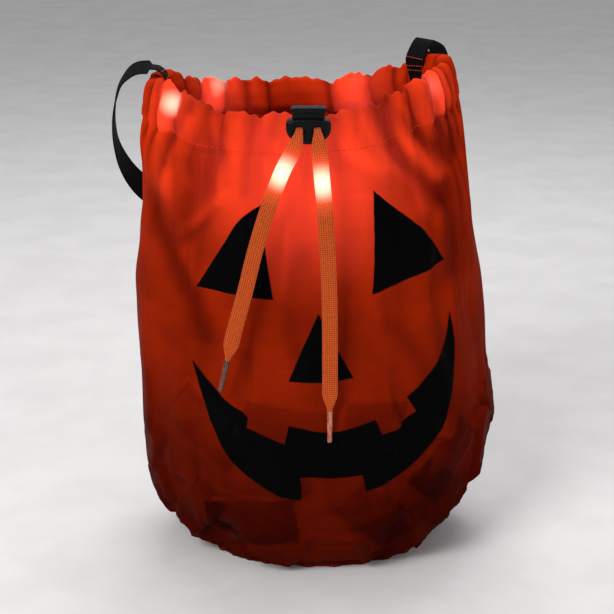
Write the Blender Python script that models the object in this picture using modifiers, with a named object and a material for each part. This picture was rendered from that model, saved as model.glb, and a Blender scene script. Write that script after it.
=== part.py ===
"""A jack-o'-lantern drawstring treat bag with a string of lights in its drawstring.

The bag stands on the floor, its front faces -Y, and the origin is under its middle.
Metres, +Z up.
"""

import math

import bmesh
import bpy
from mathutils import Matrix, Vector

MM = 0.001
GAP = 0.3 * MM

# Bag body: an oval sack with a round bottom edge, gathered at the top.
CLOTH = 1.0 * MM
BASE_CORNER_WIDTH = 42 * MM
BASE_CORNER_DEPTH = 30 * MM
BASE_CORNER_HEIGHT = 62 * MM
OVALNESS = 2.1
SEAM_GAP = 0.8 * MM
# Height, half width, half depth and sideways sag of the filled sack, in mm.
SACK = [
    (62, 130.5, 104, 9),
    (104, 135.5, 108, 10),
    (165, 132.5, 106, 2),
    (235, 127.5, 100, 0),
    (285, 125, 92, 2),
    (318, 121, 84, 1),
    (345, 112, 75, -2),
    (372, 107, 70, -4),
]

# Gathered hem: the top of each panel folded inwards, with the drawstring in the fold.
HEM = 28 * MM
HEM_THICKNESS = 8.4 * MM
RIM_LOW = 345.5 * MM
RIM_SIDE_RISE = 21 * MM
RIM_TILT = 6 * MM

# Drawstring: a flat woven tube.
LACE_WIDTH = 11 * MM
LACE_THICKNESS = 3.8 * MM
LACE_WALL = 0.6 * MM
LACE_DROP = 12.5 * MM
LACE_HOLE_WIDTH = 5.2 * MM
LACE_HOLE_THICKNESS = 2.8 * MM
LACE_SLIT = (27 * MM, 16 * MM, 10 * MM)
AGLET_LENGTH = 24 * MM
AGLET_RADIUS = 2.0 * MM

# Lights: small beads, six of them, on two strings of wire.
LED_SIZE = (3.0 * MM, 1.6 * MM, 5.4 * MM)
LED_RISE = 1.7 * MM
TAIL_LIGHT_BELOW_LOCK = 36 * MM
STRING_WIRE_DROP = 2.2 * MM
STRING_WIRE_RADIUS = 0.6 * MM

# Cord lock.
LOCK = Vector((3, -90, 338)) * MM
LOCK_WIDTH = 31 * MM
LOCK_HEIGHT = 18 * MM
LOCK_DEPTH = 14 * MM
CORD_HOLE_OFFSET = 6.2 * MM
CORD_HOLE_RADIUS = 3.75 * MM
PLUNGER_TRAVEL = 3.2 * MM
STEM_WIDTH = 22 * MM
STEM_DEPTH = 8 * MM
CAP_WIDTH = 24.5 * MM
CAP_HEIGHT = 4 * MM
LACE_IN_LOCK = LOCK.z + PLUNGER_TRAVEL / 2

# Carry handle: webbing, its ends sewn inside the hem at the left and at the back right.
WEBBING_WIDTH = 20 * MM
WEBBING_THICKNESS = 1.2 * MM
STRAP_END_ANGLES = {"left": math.pi, "right": math.radians(28)}
STRAP_BOW = 1.8 * MM
STRAP_HINGE_GAP = 2.2 * MM

# Battery case, in its own frame: x across, z up along the back panel, y into the panel.
CASE_WIDTH = 30 * MM
CASE_HEIGHT = 40 * MM
CASE_DEPTH = 12.4 * MM
CASE_WALL = 1.2 * MM
CASE_STANDOFF = 1.6 * MM
CASE_CENTRE_HEIGHT = 265 * MM
CELL_RADIUS = 10 * MM
CELL_THICKNESS = 3.2 * MM
TRAY_WIDTH = 27 * MM
TRAY_DEPTH = 8.3 * MM
TRAY_HEIGHT = 25.4 * MM
TRAY_LID = 2.6 * MM
TRAY_FLOOR = 1.0 * MM
CONTACT_THICKNESS = 0.4 * MM
BOARD_THICKNESS = 1.0 * MM
BUTTON_RADIUS = 3.7 * MM
BUTTON_HEIGHT = -12.5 * MM
LEAD_ANGLE = math.radians(82)

FULL = 2 * math.pi


# ---------------------------------------------------------------- scene and materials

def clear_scene():
    for item in list(bpy.data.objects):
        bpy.data.objects.remove(item)
    parts = bpy.data.collections.new("treat_bag")
    cutters = bpy.data.collections.new("cutters")
    bpy.context.scene.collection.children.link(parts)
    bpy.context.scene.collection.children.link(cutters)
    return parts, cutters


PARTS, CUTTERS = clear_scene()


def material(name, colour, roughness, metallic=0.0):
    found = bpy.data.materials.get(name)
    if found:
        return found
    made = bpy.data.materials.new(name)
    made.use_nodes = True
    shader = made.node_tree.nodes["Principled BSDF"]
    shader.inputs["Base Color"].default_value = (*colour, 1)
    shader.inputs["Roughness"].default_value = roughness
    shader.inputs["Metallic"].default_value = metallic
    return made


FINISHES = {
    "orange_cloth": ((0.85, 0.16, 0.02), 0.6),
    "orange_lace": ((0.82, 0.30, 0.04), 0.7),
    "black_webbing": ((0.015, 0.015, 0.017), 0.75),
    "black_plastic": ((0.02, 0.02, 0.02), 0.45),
    "white_plastic": ((0.75, 0.75, 0.73), 0.4),
    "clear_plastic": ((0.85, 0.70, 0.62), 0.2),
    "led_lens": ((0.95, 0.55, 0.50), 0.2),
    "steel": ((0.6, 0.6, 0.6), 0.3, 1.0),
    "board_green": ((0.03, 0.22, 0.08), 0.5),
    "wire_red": ((0.5, 0.05, 0.04), 0.5),
}


def add(name, mesh, finish, parent=None):
    """A finished part with its own copy of a finish."""
    item = bpy.data.objects.new(name, mesh)
    PARTS.objects.link(item)
    item.parent = parent
    own = material(name + "_" + finish, *FINISHES[finish])
    mesh.materials.clear()
    mesh.materials.append(own)
    return item


def empty(name, place, parent=None):
    item = bpy.data.objects.new(name, None)
    PARTS.objects.link(item)
    item.location = place
    item.parent = parent
    return item


def mesh_from(name, build):
    """A mesh whose faces are made by build(bm)."""
    bm = bmesh.new()
    build(bm)
    mesh = bpy.data.meshes.new(name)
    bm.to_mesh(mesh)
    bm.free()
    return mesh


def box_mesh(name, size, centre=(0, 0, 0)):
    def build(bm):
        place = Matrix.Translation(Vector(centre)) @ Matrix.Diagonal((*size, 1))
        bmesh.ops.create_cube(bm, size=1, matrix=place)
    return mesh_from(name, build)


def rod_mesh(name, radius, length, centre=(0, 0, 0), axis="Z", sides=24, tip_radius=None):
    """A round bar along an axis; tip_radius is its radius at the far end."""
    turn = {
        "X": Matrix.Rotation(math.pi / 2, 4, "Y"),
        "Y": Matrix.Rotation(-math.pi / 2, 4, "X"),
        "Z": Matrix.Identity(4),
    }[axis]

    def build(bm):
        bmesh.ops.create_cone(
            bm,
            cap_ends=True,
            segments=sides,
            radius1=radius,
            radius2=radius if tip_radius is None else tip_radius,
            depth=length,
            matrix=Matrix.Translation(Vector(centre)) @ turn,
        )
    return mesh_from(name, build)


def rod_between(name, start, end, radius, sides=12):
    """A round bar from one point to another."""
    along = end - start
    mesh = rod_mesh(name, radius, along.length, sides=sides)
    turn = Vector((0, 0, 1)).rotation_difference(along).to_matrix().to_4x4()
    mesh.transform(Matrix.Translation((start + end) / 2) @ turn)
    return mesh


def bevel(item, width, segments=2, angle=40):
    change = item.modifiers.new("rounding", "BEVEL")
    change.width = width
    change.segments = segments
    change.limit_method = "ANGLE"
    change.angle_limit = math.radians(angle)
    return item


def combine(item, mesh, operation, parent):
    """Takes a closed mesh away from item, or joins it on."""
    helper = bpy.data.objects.new("helper_" + mesh.name, mesh)
    CUTTERS.objects.link(helper)
    helper.parent = parent
    helper.hide_render = True
    helper.display_type = "WIRE"
    change = item.modifiers.new(operation.lower(), "BOOLEAN")
    change.operation = operation
    change.object = helper


def cut(item, mesh, parent=None):
    combine(item, mesh, "DIFFERENCE", parent)


def join(item, mesh, parent=None):
    combine(item, mesh, "UNION", parent)


# ---------------------------------------------------------------- curves and sweeps

def smooth_value(stations, at, column):
    """Reads one column of a table of stations along a smooth curve through them."""
    last = len(stations) - 1
    place = 0
    while place < last - 1 and at > stations[place + 1][0]:
        place += 1
    low, high = stations[place], stations[place + 1]
    span = high[0] - low[0]
    share = min(max((at - low[0]) / span, 0), 1)
    before = stations[max(place - 1, 0)]
    after = stations[min(place + 2, last)]
    slope_low = (high[column] - before[column]) / (high[0] - before[0]) * span
    slope_high = (after[column] - low[column]) / (after[0] - low[0]) * span
    square, cube = share ** 2, share ** 3
    return (
        (2 * cube - 3 * square + 1) * low[column]
        + (cube - 2 * square + share) * slope_low
        + (3 * square - 2 * cube) * high[column]
        + (cube - square) * slope_high
    )


def smooth_path(points, count):
    """Evenly spaced points on a smooth curve through the given ones."""
    points = [Vector(p) for p in points]
    fine = []
    steps = 12
    for i in range(len(points) - 1):
        a = points[max(i - 1, 0)]
        b, c = points[i], points[i + 1]
        d = points[min(i + 2, len(points) - 1)]
        for k in range(steps):
            t = k / steps
            fine.append(
                b * (1 + t * t * (2 * t - 3))
                + c * (t * t * (3 - 2 * t))
                + (c - a) * (0.5 * t * (1 - t) ** 2)
                - (d - b) * (0.5 * t * t * (1 - t))
            )
    fine.append(points[-1])
    run = [0.0]
    for a, b in zip(fine, fine[1:]):
        run.append(run[-1] + (b - a).length)
    path = []
    k = 0
    for i in range(count):
        want = run[-1] * i / (count - 1)
        while k < len(run) - 2 and run[k + 1] < want:
            k += 1
        share = (want - run[k]) / max(run[k + 1] - run[k], 1e-9)
        path.append(fine[k].lerp(fine[k + 1], min(share, 1)))
    return path


def path_length(path):
    return sum((b - a).length for a, b in zip(path, path[1:]))


def direction(path, i):
    return (path[min(i + 1, len(path) - 1)] - path[max(i - 1, 0)]).normalized()


def sweep_mesh(name, rings, inner_rings=None):
    """Skins matching rings of points into a bar, or into a tube when inner rings are given."""

    def skin(bm, loops, inward):
        count = len(loops[0])
        for a, b in zip(loops, loops[1:]):
            for k in range(count):
                face = [a[k], a[(k + 1) % count], b[(k + 1) % count], b[k]]
                bm.faces.new(face[::-1] if inward else face)

    def build(bm):
        outer = [[bm.verts.new(p) for p in ring] for ring in rings]
        skin(bm, outer, False)
        if inner_rings is None:
            bm.faces.new(outer[0][::-1])
            bm.faces.new(outer[-1])
        else:
            inner = [[bm.verts.new(p) for p in ring] for ring in inner_rings]
            skin(bm, inner, True)
            count = len(outer[0])
            for k in range(count):
                n = (k + 1) % count
                bm.faces.new([outer[0][k], inner[0][k], inner[0][n], outer[0][n]])
                bm.faces.new([outer[-1][n], inner[-1][n], inner[-1][k], outer[-1][k]])
        bmesh.ops.recalc_face_normals(bm, faces=bm.faces)
    return mesh_from(name, build)


def oval_ring(centre, across, through, half_width, half_thickness, sides):
    """A flat oval: round-cornered, wider than it is thick."""
    ring = []
    for k in range(sides):
        a = FULL * (k + 0.5) / sides
        x = math.copysign(abs(math.cos(a)) ** 0.6, math.cos(a)) * half_width
        y = math.copysign(abs(math.sin(a)) ** 0.8, math.sin(a)) * half_thickness
        ring.append(centre + across * x + through * y)
    return ring


def hollow_lace(name, path, across_at, size_at, finish, parent=None, sides=8):
    """A woven tube along a path; size_at gives its width and thickness at a share of the path."""
    outer, inner = [], []
    for i, point in enumerate(path):
        along = direction(path, i)
        across = across_at(i)
        across = (across - along * across.dot(along)).normalized()
        through = along.cross(across)
        width, thickness = size_at(i / (len(path) - 1))
        outer.append(oval_ring(point, across, through, width / 2, thickness / 2, sides))
        inner.append(
            oval_ring(
                point, across, through, width / 2 - LACE_WALL, thickness / 2 - LACE_WALL, sides
            )
        )
    return add(name, sweep_mesh(name, outer, inner), finish, parent)


def wire(name, points, radius, finish, parent=None):
    """A round wire through a list of points."""
    curve = bpy.data.curves.new(name, "CURVE")
    curve.dimensions = "3D"
    curve.bevel_depth = radius
    curve.bevel_resolution = 1
    curve.use_fill_caps = True
    spline = curve.splines.new("POLY")
    spline.points.add(len(points) - 1)
    for spot, point in zip(spline.points, points):
        spot.co = (*point, 1)
    item = bpy.data.objects.new(name, curve)
    PARTS.objects.link(item)
    item.parent = parent
    curve.materials.append(material(name + "_" + finish, *FINISHES[finish]))
    return item


# ---------------------------------------------------------------- bag body

def half_sizes(height):
    """Half width, half depth and sideways sag of the sack at a height."""
    at = max(height, BASE_CORNER_HEIGHT) / MM
    width, depth, sag = (smooth_value(SACK, at, c) * MM for c in (1, 2, 3))
    if height < BASE_CORNER_HEIGHT:
        tuck = 1 - math.sqrt(1 - (1 - height / BASE_CORNER_HEIGHT) ** 2)
        width -= BASE_CORNER_WIDTH * tuck
        depth -= BASE_CORNER_DEPTH * tuck
    return width, depth, sag


def outline(angle, height, inset=0.0):
    """A point on the sack; angle 0 is the right side, a quarter turn is the back."""
    width, depth, sag = half_sizes(height)
    c, s = math.cos(angle), math.sin(angle)
    power = 2 / OVALNESS
    x = math.copysign(abs(c) ** power, c) * (width - inset)
    y = math.copysign(abs(s) ** power, s) * (depth - inset)
    return Vector((sag + x, y, height))


def rim_height(angle):
    return RIM_LOW + RIM_SIDE_RISE * math.cos(angle) ** 2 + RIM_TILT * math.cos(angle)


def panel_profile(angle):
    """Points up the outside of a panel, over the fold of its hem and down its inner leg."""
    rim = rim_height(angle)
    hem_foot = rim - HEM
    fold = HEM_THICKNESS / 2
    points = []
    for k in range(5):
        t = math.pi / 2 * k / 5
        points.append(outline(angle, BASE_CORNER_HEIGHT * (1 - math.cos(t))))
    for k in range(9):
        points.append(outline(angle, BASE_CORNER_HEIGHT + (hem_foot - BASE_CORNER_HEIGHT) * k / 8))
    for k in range(1, 3):
        points.append(outline(angle, hem_foot + (HEM - fold) * k / 2))
    for k in range(1, 5):
        t = math.pi * k / 4
        points.append(outline(angle, rim - fold + fold * math.sin(t), fold * (1 - math.cos(t))))
    points.append(outline(angle, hem_foot + 7 * MM, HEM_THICKNESS))
    points.append(outline(angle, hem_foot, 2 * CLOTH + 2 * GAP))
    return points


def panel(name, first_angle, last_angle, columns=22):
    """Half of the sack's wall, from one side seam to the other."""

    def build(bm):
        grid = []
        for i in range(columns + 1):
            angle = first_angle + (last_angle - first_angle) * i / columns
            grid.append([bm.verts.new(p) for p in panel_profile(angle)])
        for left, right in zip(grid, grid[1:]):
            for k in range(len(left) - 1):
                bm.faces.new([left[k], right[k], right[k + 1], left[k + 1]])

    item = add(name, mesh_from(name, build), "orange_cloth")
    shell = item.modifiers.new("cloth", "SOLIDIFY")
    shell.thickness = CLOTH
    shell.offset = -1
    return item


def build_panels():
    seam = SEAM_GAP / 2 / (110 * MM)
    front = panel("front_panel", math.pi + seam, FULL - seam)
    back = panel("back_panel", seam, math.pi - seam)
    slit = box_mesh("lace_slit", LACE_SLIT)
    slit.transform(Matrix.Translation((LOCK.x, LOCK.y + 10 * MM, LACE_IN_LOCK)))
    cut(front, slit)
    entry = lead_entry()
    inside = lead_in_tunnel()
    below, above = entry.lerp(inside, -0.4), entry.lerp(inside, 1.4)
    cut(back, rod_between("lead_notch", below, above, 2.0 * MM))


def build_bottom():
    """The oval base patch that the sack stands on."""
    rim = [
        outline(FULL * k / 48, 0, 1.0 * MM) + Vector((0, 0, CLOTH / 2))
        for k in range(48)
    ]

    def build(bm):
        low = [bm.verts.new(p - Vector((0, 0, CLOTH / 2))) for p in rim]
        face = bm.faces.new(low)
        raised = bmesh.ops.extrude_face_region(bm, geom=[face])["geom"]
        moved = [v for v in raised if isinstance(v, bmesh.types.BMVert)]
        bmesh.ops.translate(bm, verts=moved, vec=(0, 0, CLOTH))
        bmesh.ops.recalc_face_normals(bm, faces=bm.faces)
    add("bottom_panel", mesh_from("bottom_panel", build), "orange_cloth")


# ---------------------------------------------------------------- drawstring

def tunnel_point(angle, drop=LACE_DROP, shift=0.0):
    """The middle of the drawstring tunnel."""
    return outline(angle, rim_height(angle) - drop, HEM_THICKNESS / 2 + shift)


def hem_up(point):
    """The way up the leaning hem, beside a point in the tunnel."""
    width, depth, sag = half_sizes(point.z)
    angle = math.atan2(point.y / depth, (point.x - sag) / width)
    step = 4 * MM
    return (tunnel_point(angle, LACE_DROP - step) - tunnel_point(angle, LACE_DROP + step)).normalized()


def tunnel_path(count, first_turn, last_turn, drop=LACE_DROP):
    """Tunnel points from one angle to another, in degrees."""
    points = []
    for i in range(count):
        angle = math.radians(first_turn + (last_turn - first_turn) * i / (count - 1))
        points.append(tunnel_point(angle, drop))
    return points


def lock_back():
    return LOCK.y + LOCK_DEPTH / 2


def lace_route():
    """Out of the lock's left hole, round the mouth behind it and back to the right hole."""
    left_x = LOCK.x - CORD_HOLE_OFFSET
    right_x = LOCK.x + CORD_HOLE_OFFSET
    mouth = lock_back() + GAP
    z = LACE_IN_LOCK
    left_exit = [
        (left_x, mouth, z),
        (left_x, mouth + 4 * MM, z),
        (left_x - 1.6 * MM, mouth + 7.6 * MM, z - 0.8 * MM),
        (left_x - 8 * MM, mouth + 9.6 * MM, z - 3.5 * MM),
    ]
    right_exit = [(right_x + left_x - x, y, zz) for x, y, zz in left_exit]
    around = tunnel_path(31, 256, -74)
    return [Vector(p) for p in left_exit] + around + [Vector(p) for p in right_exit[::-1]]


def lead_entry():
    """Where the battery lead comes up through the hem's lower seam, beside the battery case."""
    return outline(LEAD_ANGLE, rim_height(LEAD_ANGLE) - HEM, 3.4 * MM)


def lead_in_tunnel():
    """A point of the battery lead inside the tunnel, below the lace."""
    middle = tunnel_point(LEAD_ANGLE)
    return middle + Vector((0, 1.2 * MM, -LACE_WIDTH / 2 - 3.2 * MM))


def build_lace():
    fine = smooth_path(lace_route(), 226)
    last = len(fine) - 1
    path = [p for i, p in enumerate(fine) if min(i, last - i) < 10 or i % 5 == 0]
    run = [path_length(path[:i + 1]) for i in range(len(path))]

    def across(i):
        return hem_up(path[i])

    def size(share):
        done = run[round(share * (len(path) - 1))]
        near_lock = max(0.0, 1 - min(done, run[-1] - done) / (22 * MM))
        soft = near_lock * near_lock * (3 - 2 * near_lock)
        width = LACE_WIDTH + (LACE_HOLE_THICKNESS - LACE_WIDTH) * soft
        thickness = LACE_THICKNESS + (LACE_HOLE_WIDTH - LACE_THICKNESS) * soft
        return width, thickness

    lace = hollow_lace("drawstring_lace", path, across, size, "orange_lace")
    entry = lead_entry()
    port = rod_mesh("lead_port", 1.9 * MM, 8 * MM, sides=12)
    middle = tunnel_point(LEAD_ANGLE)
    port.transform(Matrix.Translation((entry.x, middle.y, middle.z - LACE_WIDTH / 2)))
    cut(lace, port)


LEFT_TAIL = [
    (-3.2, -83.3, 339.6),
    (-3.2, -96.0, 339.6),
    (-3.6, -102.0, 338.2),
    (-4.9, -106.6, 333.8),
    (-7.6, -108.6, 327.0),
    (-15.5, -109.0, 311.5),
    (-25.0, -108.8, 286.0),
    (-33.5, -108.8, 258.0),
    (-41.0, -109.2, 228.0),
    (-48.6, -109.6, 200.0),
    (-54.2, -109.4, 176.5),
]
RIGHT_TAIL = [
    (9.2, -83.3, 339.6),
    (9.2, -96.0, 339.6),
    (9.4, -102.0, 338.2),
    (9.8, -106.6, 333.8),
    (10.5, -108.6, 327.0),
    (12.2, -109.0, 308.5),
    (14.8, -109.0, 280.0),
    (16.8, -109.4, 245.0),
    (17.9, -110.6, 210.0),
    (18.2, -111.8, 172.0),
    (18.2, -112.0, 139.5),
]


def build_tail(side, route, parent):
    """One loose end of the drawstring, its light and its tip."""
    points = [Vector(p) * MM - parent.location for p in route]
    path = smooth_path(points, 32)
    side_ways = Vector((1, 0, 0))

    def across(i):
        return side_ways

    def size(share):
        leaving = min(max((share - 0.09) / 0.09, 0), 1)
        ending = min(max((share - 0.90) / 0.10, 0), 1)
        wide = LACE_HOLE_WIDTH + (LACE_WIDTH - LACE_HOLE_WIDTH) * leaving
        wide += (4.4 * MM - LACE_WIDTH) * ending
        thick = LACE_HOLE_THICKNESS + 1.2 * MM * leaving
        thick -= 1.2 * MM * min(max((share - 0.36) / 0.1, 0), 1)
        return wide, thick

    hollow_lace("lace_tail_" + side, path, across, size, "orange_lace", parent)
    add_tail_light(side, path, parent)
    add_aglet(side, path, parent)


def add_tail_light(side, path, parent):
    """The last light of a string sits in the lace, a little way out of the lock."""
    spot = nearest_along(path, LOCK_DEPTH + TAIL_LIGHT_BELOW_LOCK)
    inside = path[2:spot - 1]
    wire("tail_wire_" + side, inside, 0.5 * MM, "wire_red", parent)
    add_led("led_tail_" + side, path[spot], direction(path, spot), Vector((1, 0, 0)), parent)


def nearest_along(path, distance):
    run = 0.0
    for i in range(1, len(path)):
        run += (path[i] - path[i - 1]).length
        if run >= distance:
            return i
    return len(path) - 1


def add_led(name, place, along, across, parent=None):
    """A small light bead: a chip in clear resin."""
    across = (across - along * across.dot(along)).normalized()
    through = along.cross(across)
    mesh = box_mesh(name, LED_SIZE)
    frame = Matrix((across, through, along)).transposed().to_4x4()
    mesh.transform(Matrix.Translation(place) @ frame)
    return bevel(add(name, mesh, "led_lens", parent), 0.7 * MM, 2)


def add_aglet(side, path, parent):
    """The clear tube crimped round a lace end."""
    along = direction(path, len(path) - 1)
    start = path[-1] + along * GAP
    turn = Vector((0, 0, 1)).rotation_difference(along).to_matrix().to_4x4()
    middle = start + along * (AGLET_LENGTH / 2)
    mesh = rod_mesh("aglet_" + side, AGLET_RADIUS, AGLET_LENGTH, sides=16, tip_radius=1.7 * MM)
    mesh.transform(Matrix.Translation(middle) @ turn)
    bevel(add("aglet_" + side, mesh, "clear_plastic", parent), 0.5 * MM, 2)


def build_hem_lights():
    """Two strings of lights run through the lace, left and right of the battery lead."""
    spots = {
        "front_left": 215,
        "back_left": 126,
        "back_right": 66,
        "front_right": -32,
    }
    for name, turn in spots.items():
        angle = math.radians(turn)
        bead = tunnel_point(angle, LACE_DROP - LED_RISE)
        along = tunnel_point(angle + 0.02) - tunnel_point(angle - 0.02)
        add_led("led_" + name, bead, along.normalized(), hem_up(bead))
    drop = LACE_DROP + STRING_WIRE_DROP
    start = math.degrees(LEAD_ANGLE)
    wire("led_wire_left", tunnel_path(40, start + 2.5, 250, drop), STRING_WIRE_RADIUS, "wire_red")
    wire("led_wire_right", tunnel_path(36, start - 2.5, -68, drop), STRING_WIRE_RADIUS, "wire_red")


# ---------------------------------------------------------------- cord lock

def rounded_plate(name, width, height, depth, radius):
    """A block with a round-cornered outline in front view."""

    def build(bm):
        ring = []
        for cx, cz, start in ((1, 1, 0), (-1, 1, 1), (-1, -1, 2), (1, -1, 3)):
            for k in range(7):
                a = math.pi / 2 * (start + k / 6)
                x = cx * (width / 2 - radius) + radius * math.cos(a)
                z = cz * (height / 2 - radius) + radius * math.sin(a)
                ring.append((x, z))
        rings = []
        for y in (-depth / 2, depth / 2):
            rings.append([bm.verts.new((x, y, z)) for x, z in ring])
        bm.faces.new(rings[0])
        bm.faces.new(rings[1][::-1])
        for k in range(len(ring)):
            n = (k + 1) % len(ring)
            bm.faces.new([rings[0][n], rings[0][k], rings[1][k], rings[1][n]])
        bmesh.ops.recalc_face_normals(bm, faces=bm.faces)
    return mesh_from(name, build)


def build_lock(slide):
    """A two-hole barrel, a spring and a plunger whose own holes pinch the laces."""
    barrel = add(
        "cord_lock_barrel",
        rounded_plate("cord_lock_barrel", LOCK_WIDTH, LOCK_HEIGHT, LOCK_DEPTH, 8 * MM),
        "black_plastic",
        slide,
    )
    bevel(barrel, 1.2 * MM, 2, 60)
    slot_floor = 1.6 * MM - LOCK_HEIGHT / 2
    slot_top = LOCK_HEIGHT
    slot = box_mesh(
        "plunger_slot",
        (STEM_WIDTH + 0.8 * MM, STEM_DEPTH + 0.8 * MM, slot_top - slot_floor),
        (0, 0, (slot_top + slot_floor) / 2),
    )
    cut(barrel, slot, slide)
    for x in (-CORD_HOLE_OFFSET, CORD_HOLE_OFFSET):
        hole = rod_mesh("cord_hole", CORD_HOLE_RADIUS, 2 * LOCK_DEPTH, (x, 0, 0), "Y")
        cut(barrel, hole, slide)

    press = empty("plunger_axis", (0, 0, PLUNGER_TRAVEL), slide)
    stem_low = -CORD_HOLE_RADIUS - 1.2 * MM
    stem_high = LOCK_HEIGHT / 2 + 0.6 * MM
    stem = box_mesh(
        "cord_lock_plunger",
        (STEM_WIDTH, STEM_DEPTH, stem_high - stem_low),
        (0, 0, (stem_high + stem_low) / 2),
    )
    plunger = bevel(add("cord_lock_plunger", stem, "black_plastic", press), 0.6 * MM, 1)
    cap = rounded_plate("plunger_cap", CAP_WIDTH, CAP_HEIGHT, STEM_DEPTH + 3 * MM, 1.9 * MM)
    cap.transform(Matrix.Translation((0, 0, stem_high + CAP_HEIGHT / 2 - 0.4 * MM)))
    join(plunger, cap, press)
    for x in (-CORD_HOLE_OFFSET, CORD_HOLE_OFFSET):
        hole = rod_mesh("pinch_hole", CORD_HOLE_RADIUS, 2 * LOCK_DEPTH, (x, 0, 0), "Y")
        cut(plunger, hole, press)

    spring_low = slot_floor + 0.9 * MM
    spring_high = PLUNGER_TRAVEL + stem_low - 0.9 * MM
    turns = 3
    coil = []
    for k in range(turns * 10 + 1):
        a = FULL * k / 10
        z = spring_low + (spring_high - spring_low) * k / (turns * 10)
        coil.append((1.9 * MM * math.cos(a), 1.9 * MM * math.sin(a), z))
    wire("cord_lock_spring", coil, 0.3 * MM, "steel", slide)


# ---------------------------------------------------------------- handle

STRAP_ROUTE = [
    (-113.5, 1, 366.5),
    (-124.0, 2, 365.0),
    (-134.0, 7, 356.0),
    (-141.0, 14, 338.0),
    (-143.5, 24, 314.0),
    (-140.5, 37, 291.0),
    (-130.0, 54, 268.0),
    (-111.0, 73, 248.0),
    (-86.0, 90, 233.0),
    (-50.0, 103.5, 223.5),
    (-10.0, 109.5, 220.0),
    (35.0, 107.5, 223.5),
    (70.0, 97.0, 236.0),
    (95.0, 79.0, 258.0),
    (106.0, 66.0, 288.0),
    (107.0, 58.0, 322.0),
    (104.5, 51.0, 347.0),
    (103.0, 45.5, 364.0),
    (99.0, 41.0, 376.0),
    (91.5, 35.0, 381.5),
]


def strap_mesh(name, path, outward):
    """Flat webbing along a path; outward(i, along) is the way its face looks."""
    rings = []
    for i, point in enumerate(path):
        along = direction(path, i)
        face = outward(i, along)
        face = (face - along * face.dot(along)).normalized()
        across = along.cross(face)
        half_w = across * WEBBING_WIDTH / 2
        half_t = face * WEBBING_THICKNESS / 2
        rings.append([point + half_w + half_t, point - half_w + half_t,
                      point - half_w - half_t, point + half_w - half_t])
    return sweep_mesh(name, rings)


def build_handle():
    route = [Vector(p) * MM for p in STRAP_ROUTE]
    left_pivot, right_pivot = route[0], route[-1]
    swing = empty("handle_axis", (left_pivot + right_pivot) / 2)
    path = [p - swing.location for p in smooth_path(route, 62)]

    def outward(i, along):
        point = path[i] + swing.location
        lift = min(max((point.z - 345 * MM) / (30 * MM), 0), 1)
        behind = max(point.y - 30 * MM, 0)
        return Vector((point.x / 130, behind / 75, lift * MM * 2))

    add("handle_strap", strap_mesh("handle_strap", path, outward), "black_webbing", swing)
    build_strap_end("left", left_pivot)
    build_strap_end("right", right_pivot)


def build_strap_end(side, pivot):
    """The end of the webbing, sewn flat inside the hem and standing up to the top of its bend."""
    angle = STRAP_END_ANGLES[side]
    rim = rim_height(angle)
    inset = HEM_THICKNESS + WEBBING_THICKNESS / 2 + STRAP_BOW
    points = [outline(angle, rim - drop * MM, inset) for drop in (24, 16, 8, 0)]
    hem_run = (outline(angle + 0.02, rim) - outline(angle - 0.02, rim)).normalized()
    outside = hem_run.cross(Vector((0, 0, 1)))
    last = pivot - outside * STRAP_HINGE_GAP
    top = points[-1].lerp(last, 0.5) + Vector((0, 0, 2 * MM))
    path = smooth_path([*points, top, last], 14)

    def outward(i, along):
        return along.cross(hem_run)

    name = "strap_end_" + side
    add(name, strap_mesh(name, path, outward), "black_webbing")


# ---------------------------------------------------------------- battery case

def battery_frame():
    """An empty on the inside of the back panel, its z along the panel and its y into it."""
    angle = math.pi / 2
    low = outline(angle, CASE_CENTRE_HEIGHT - 20 * MM, CLOTH)
    high = outline(angle, CASE_CENTRE_HEIGHT + 20 * MM, CLOTH)
    frame = empty("battery_frame", (low + high) / 2)
    lean = math.atan2(low.y - high.y, high.z - low.z)
    frame.rotation_euler = (lean, 0, 0)
    return frame


BACK_FACE = -CASE_STANDOFF
FRONT_FACE = BACK_FACE - CASE_DEPTH
CASE_MIDDLE = (BACK_FACE + FRONT_FACE) / 2
TRAY_BACK = BACK_FACE - CASE_WALL - GAP
TRAY_BOTTOM = CASE_HEIGHT / 2 - TRAY_HEIGHT
CELL_HEIGHT = TRAY_BOTTOM + 1.4 * MM + CELL_RADIUS


def build_case(frame):
    case = bevel(
        add(
            "battery_case",
            box_mesh("battery_case", (CASE_WIDTH, CASE_DEPTH, CASE_HEIGHT), (0, CASE_MIDDLE, 0)),
            "white_plastic",
            frame,
        ),
        1.2 * MM,
        2,
    )
    room = (CASE_WIDTH - 2 * CASE_WALL, CASE_DEPTH - 2 * CASE_WALL, CASE_HEIGHT)
    cut(case, box_mesh("case_room", room, (0, CASE_MIDDLE, CASE_WALL)), frame)
    button_hole = rod_mesh(
        "button_hole", BUTTON_RADIUS + GAP, 6 * MM, (0, FRONT_FACE, BUTTON_HEIGHT), "Y"
    )
    cut(case, button_hole, frame)
    lead_hole = rod_mesh(
        "lead_hole", 1.4 * MM, 6 * MM, (CASE_WIDTH / 2, CASE_MIDDLE, BUTTON_HEIGHT), "X", 12
    )
    cut(case, lead_hole, frame)


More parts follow.
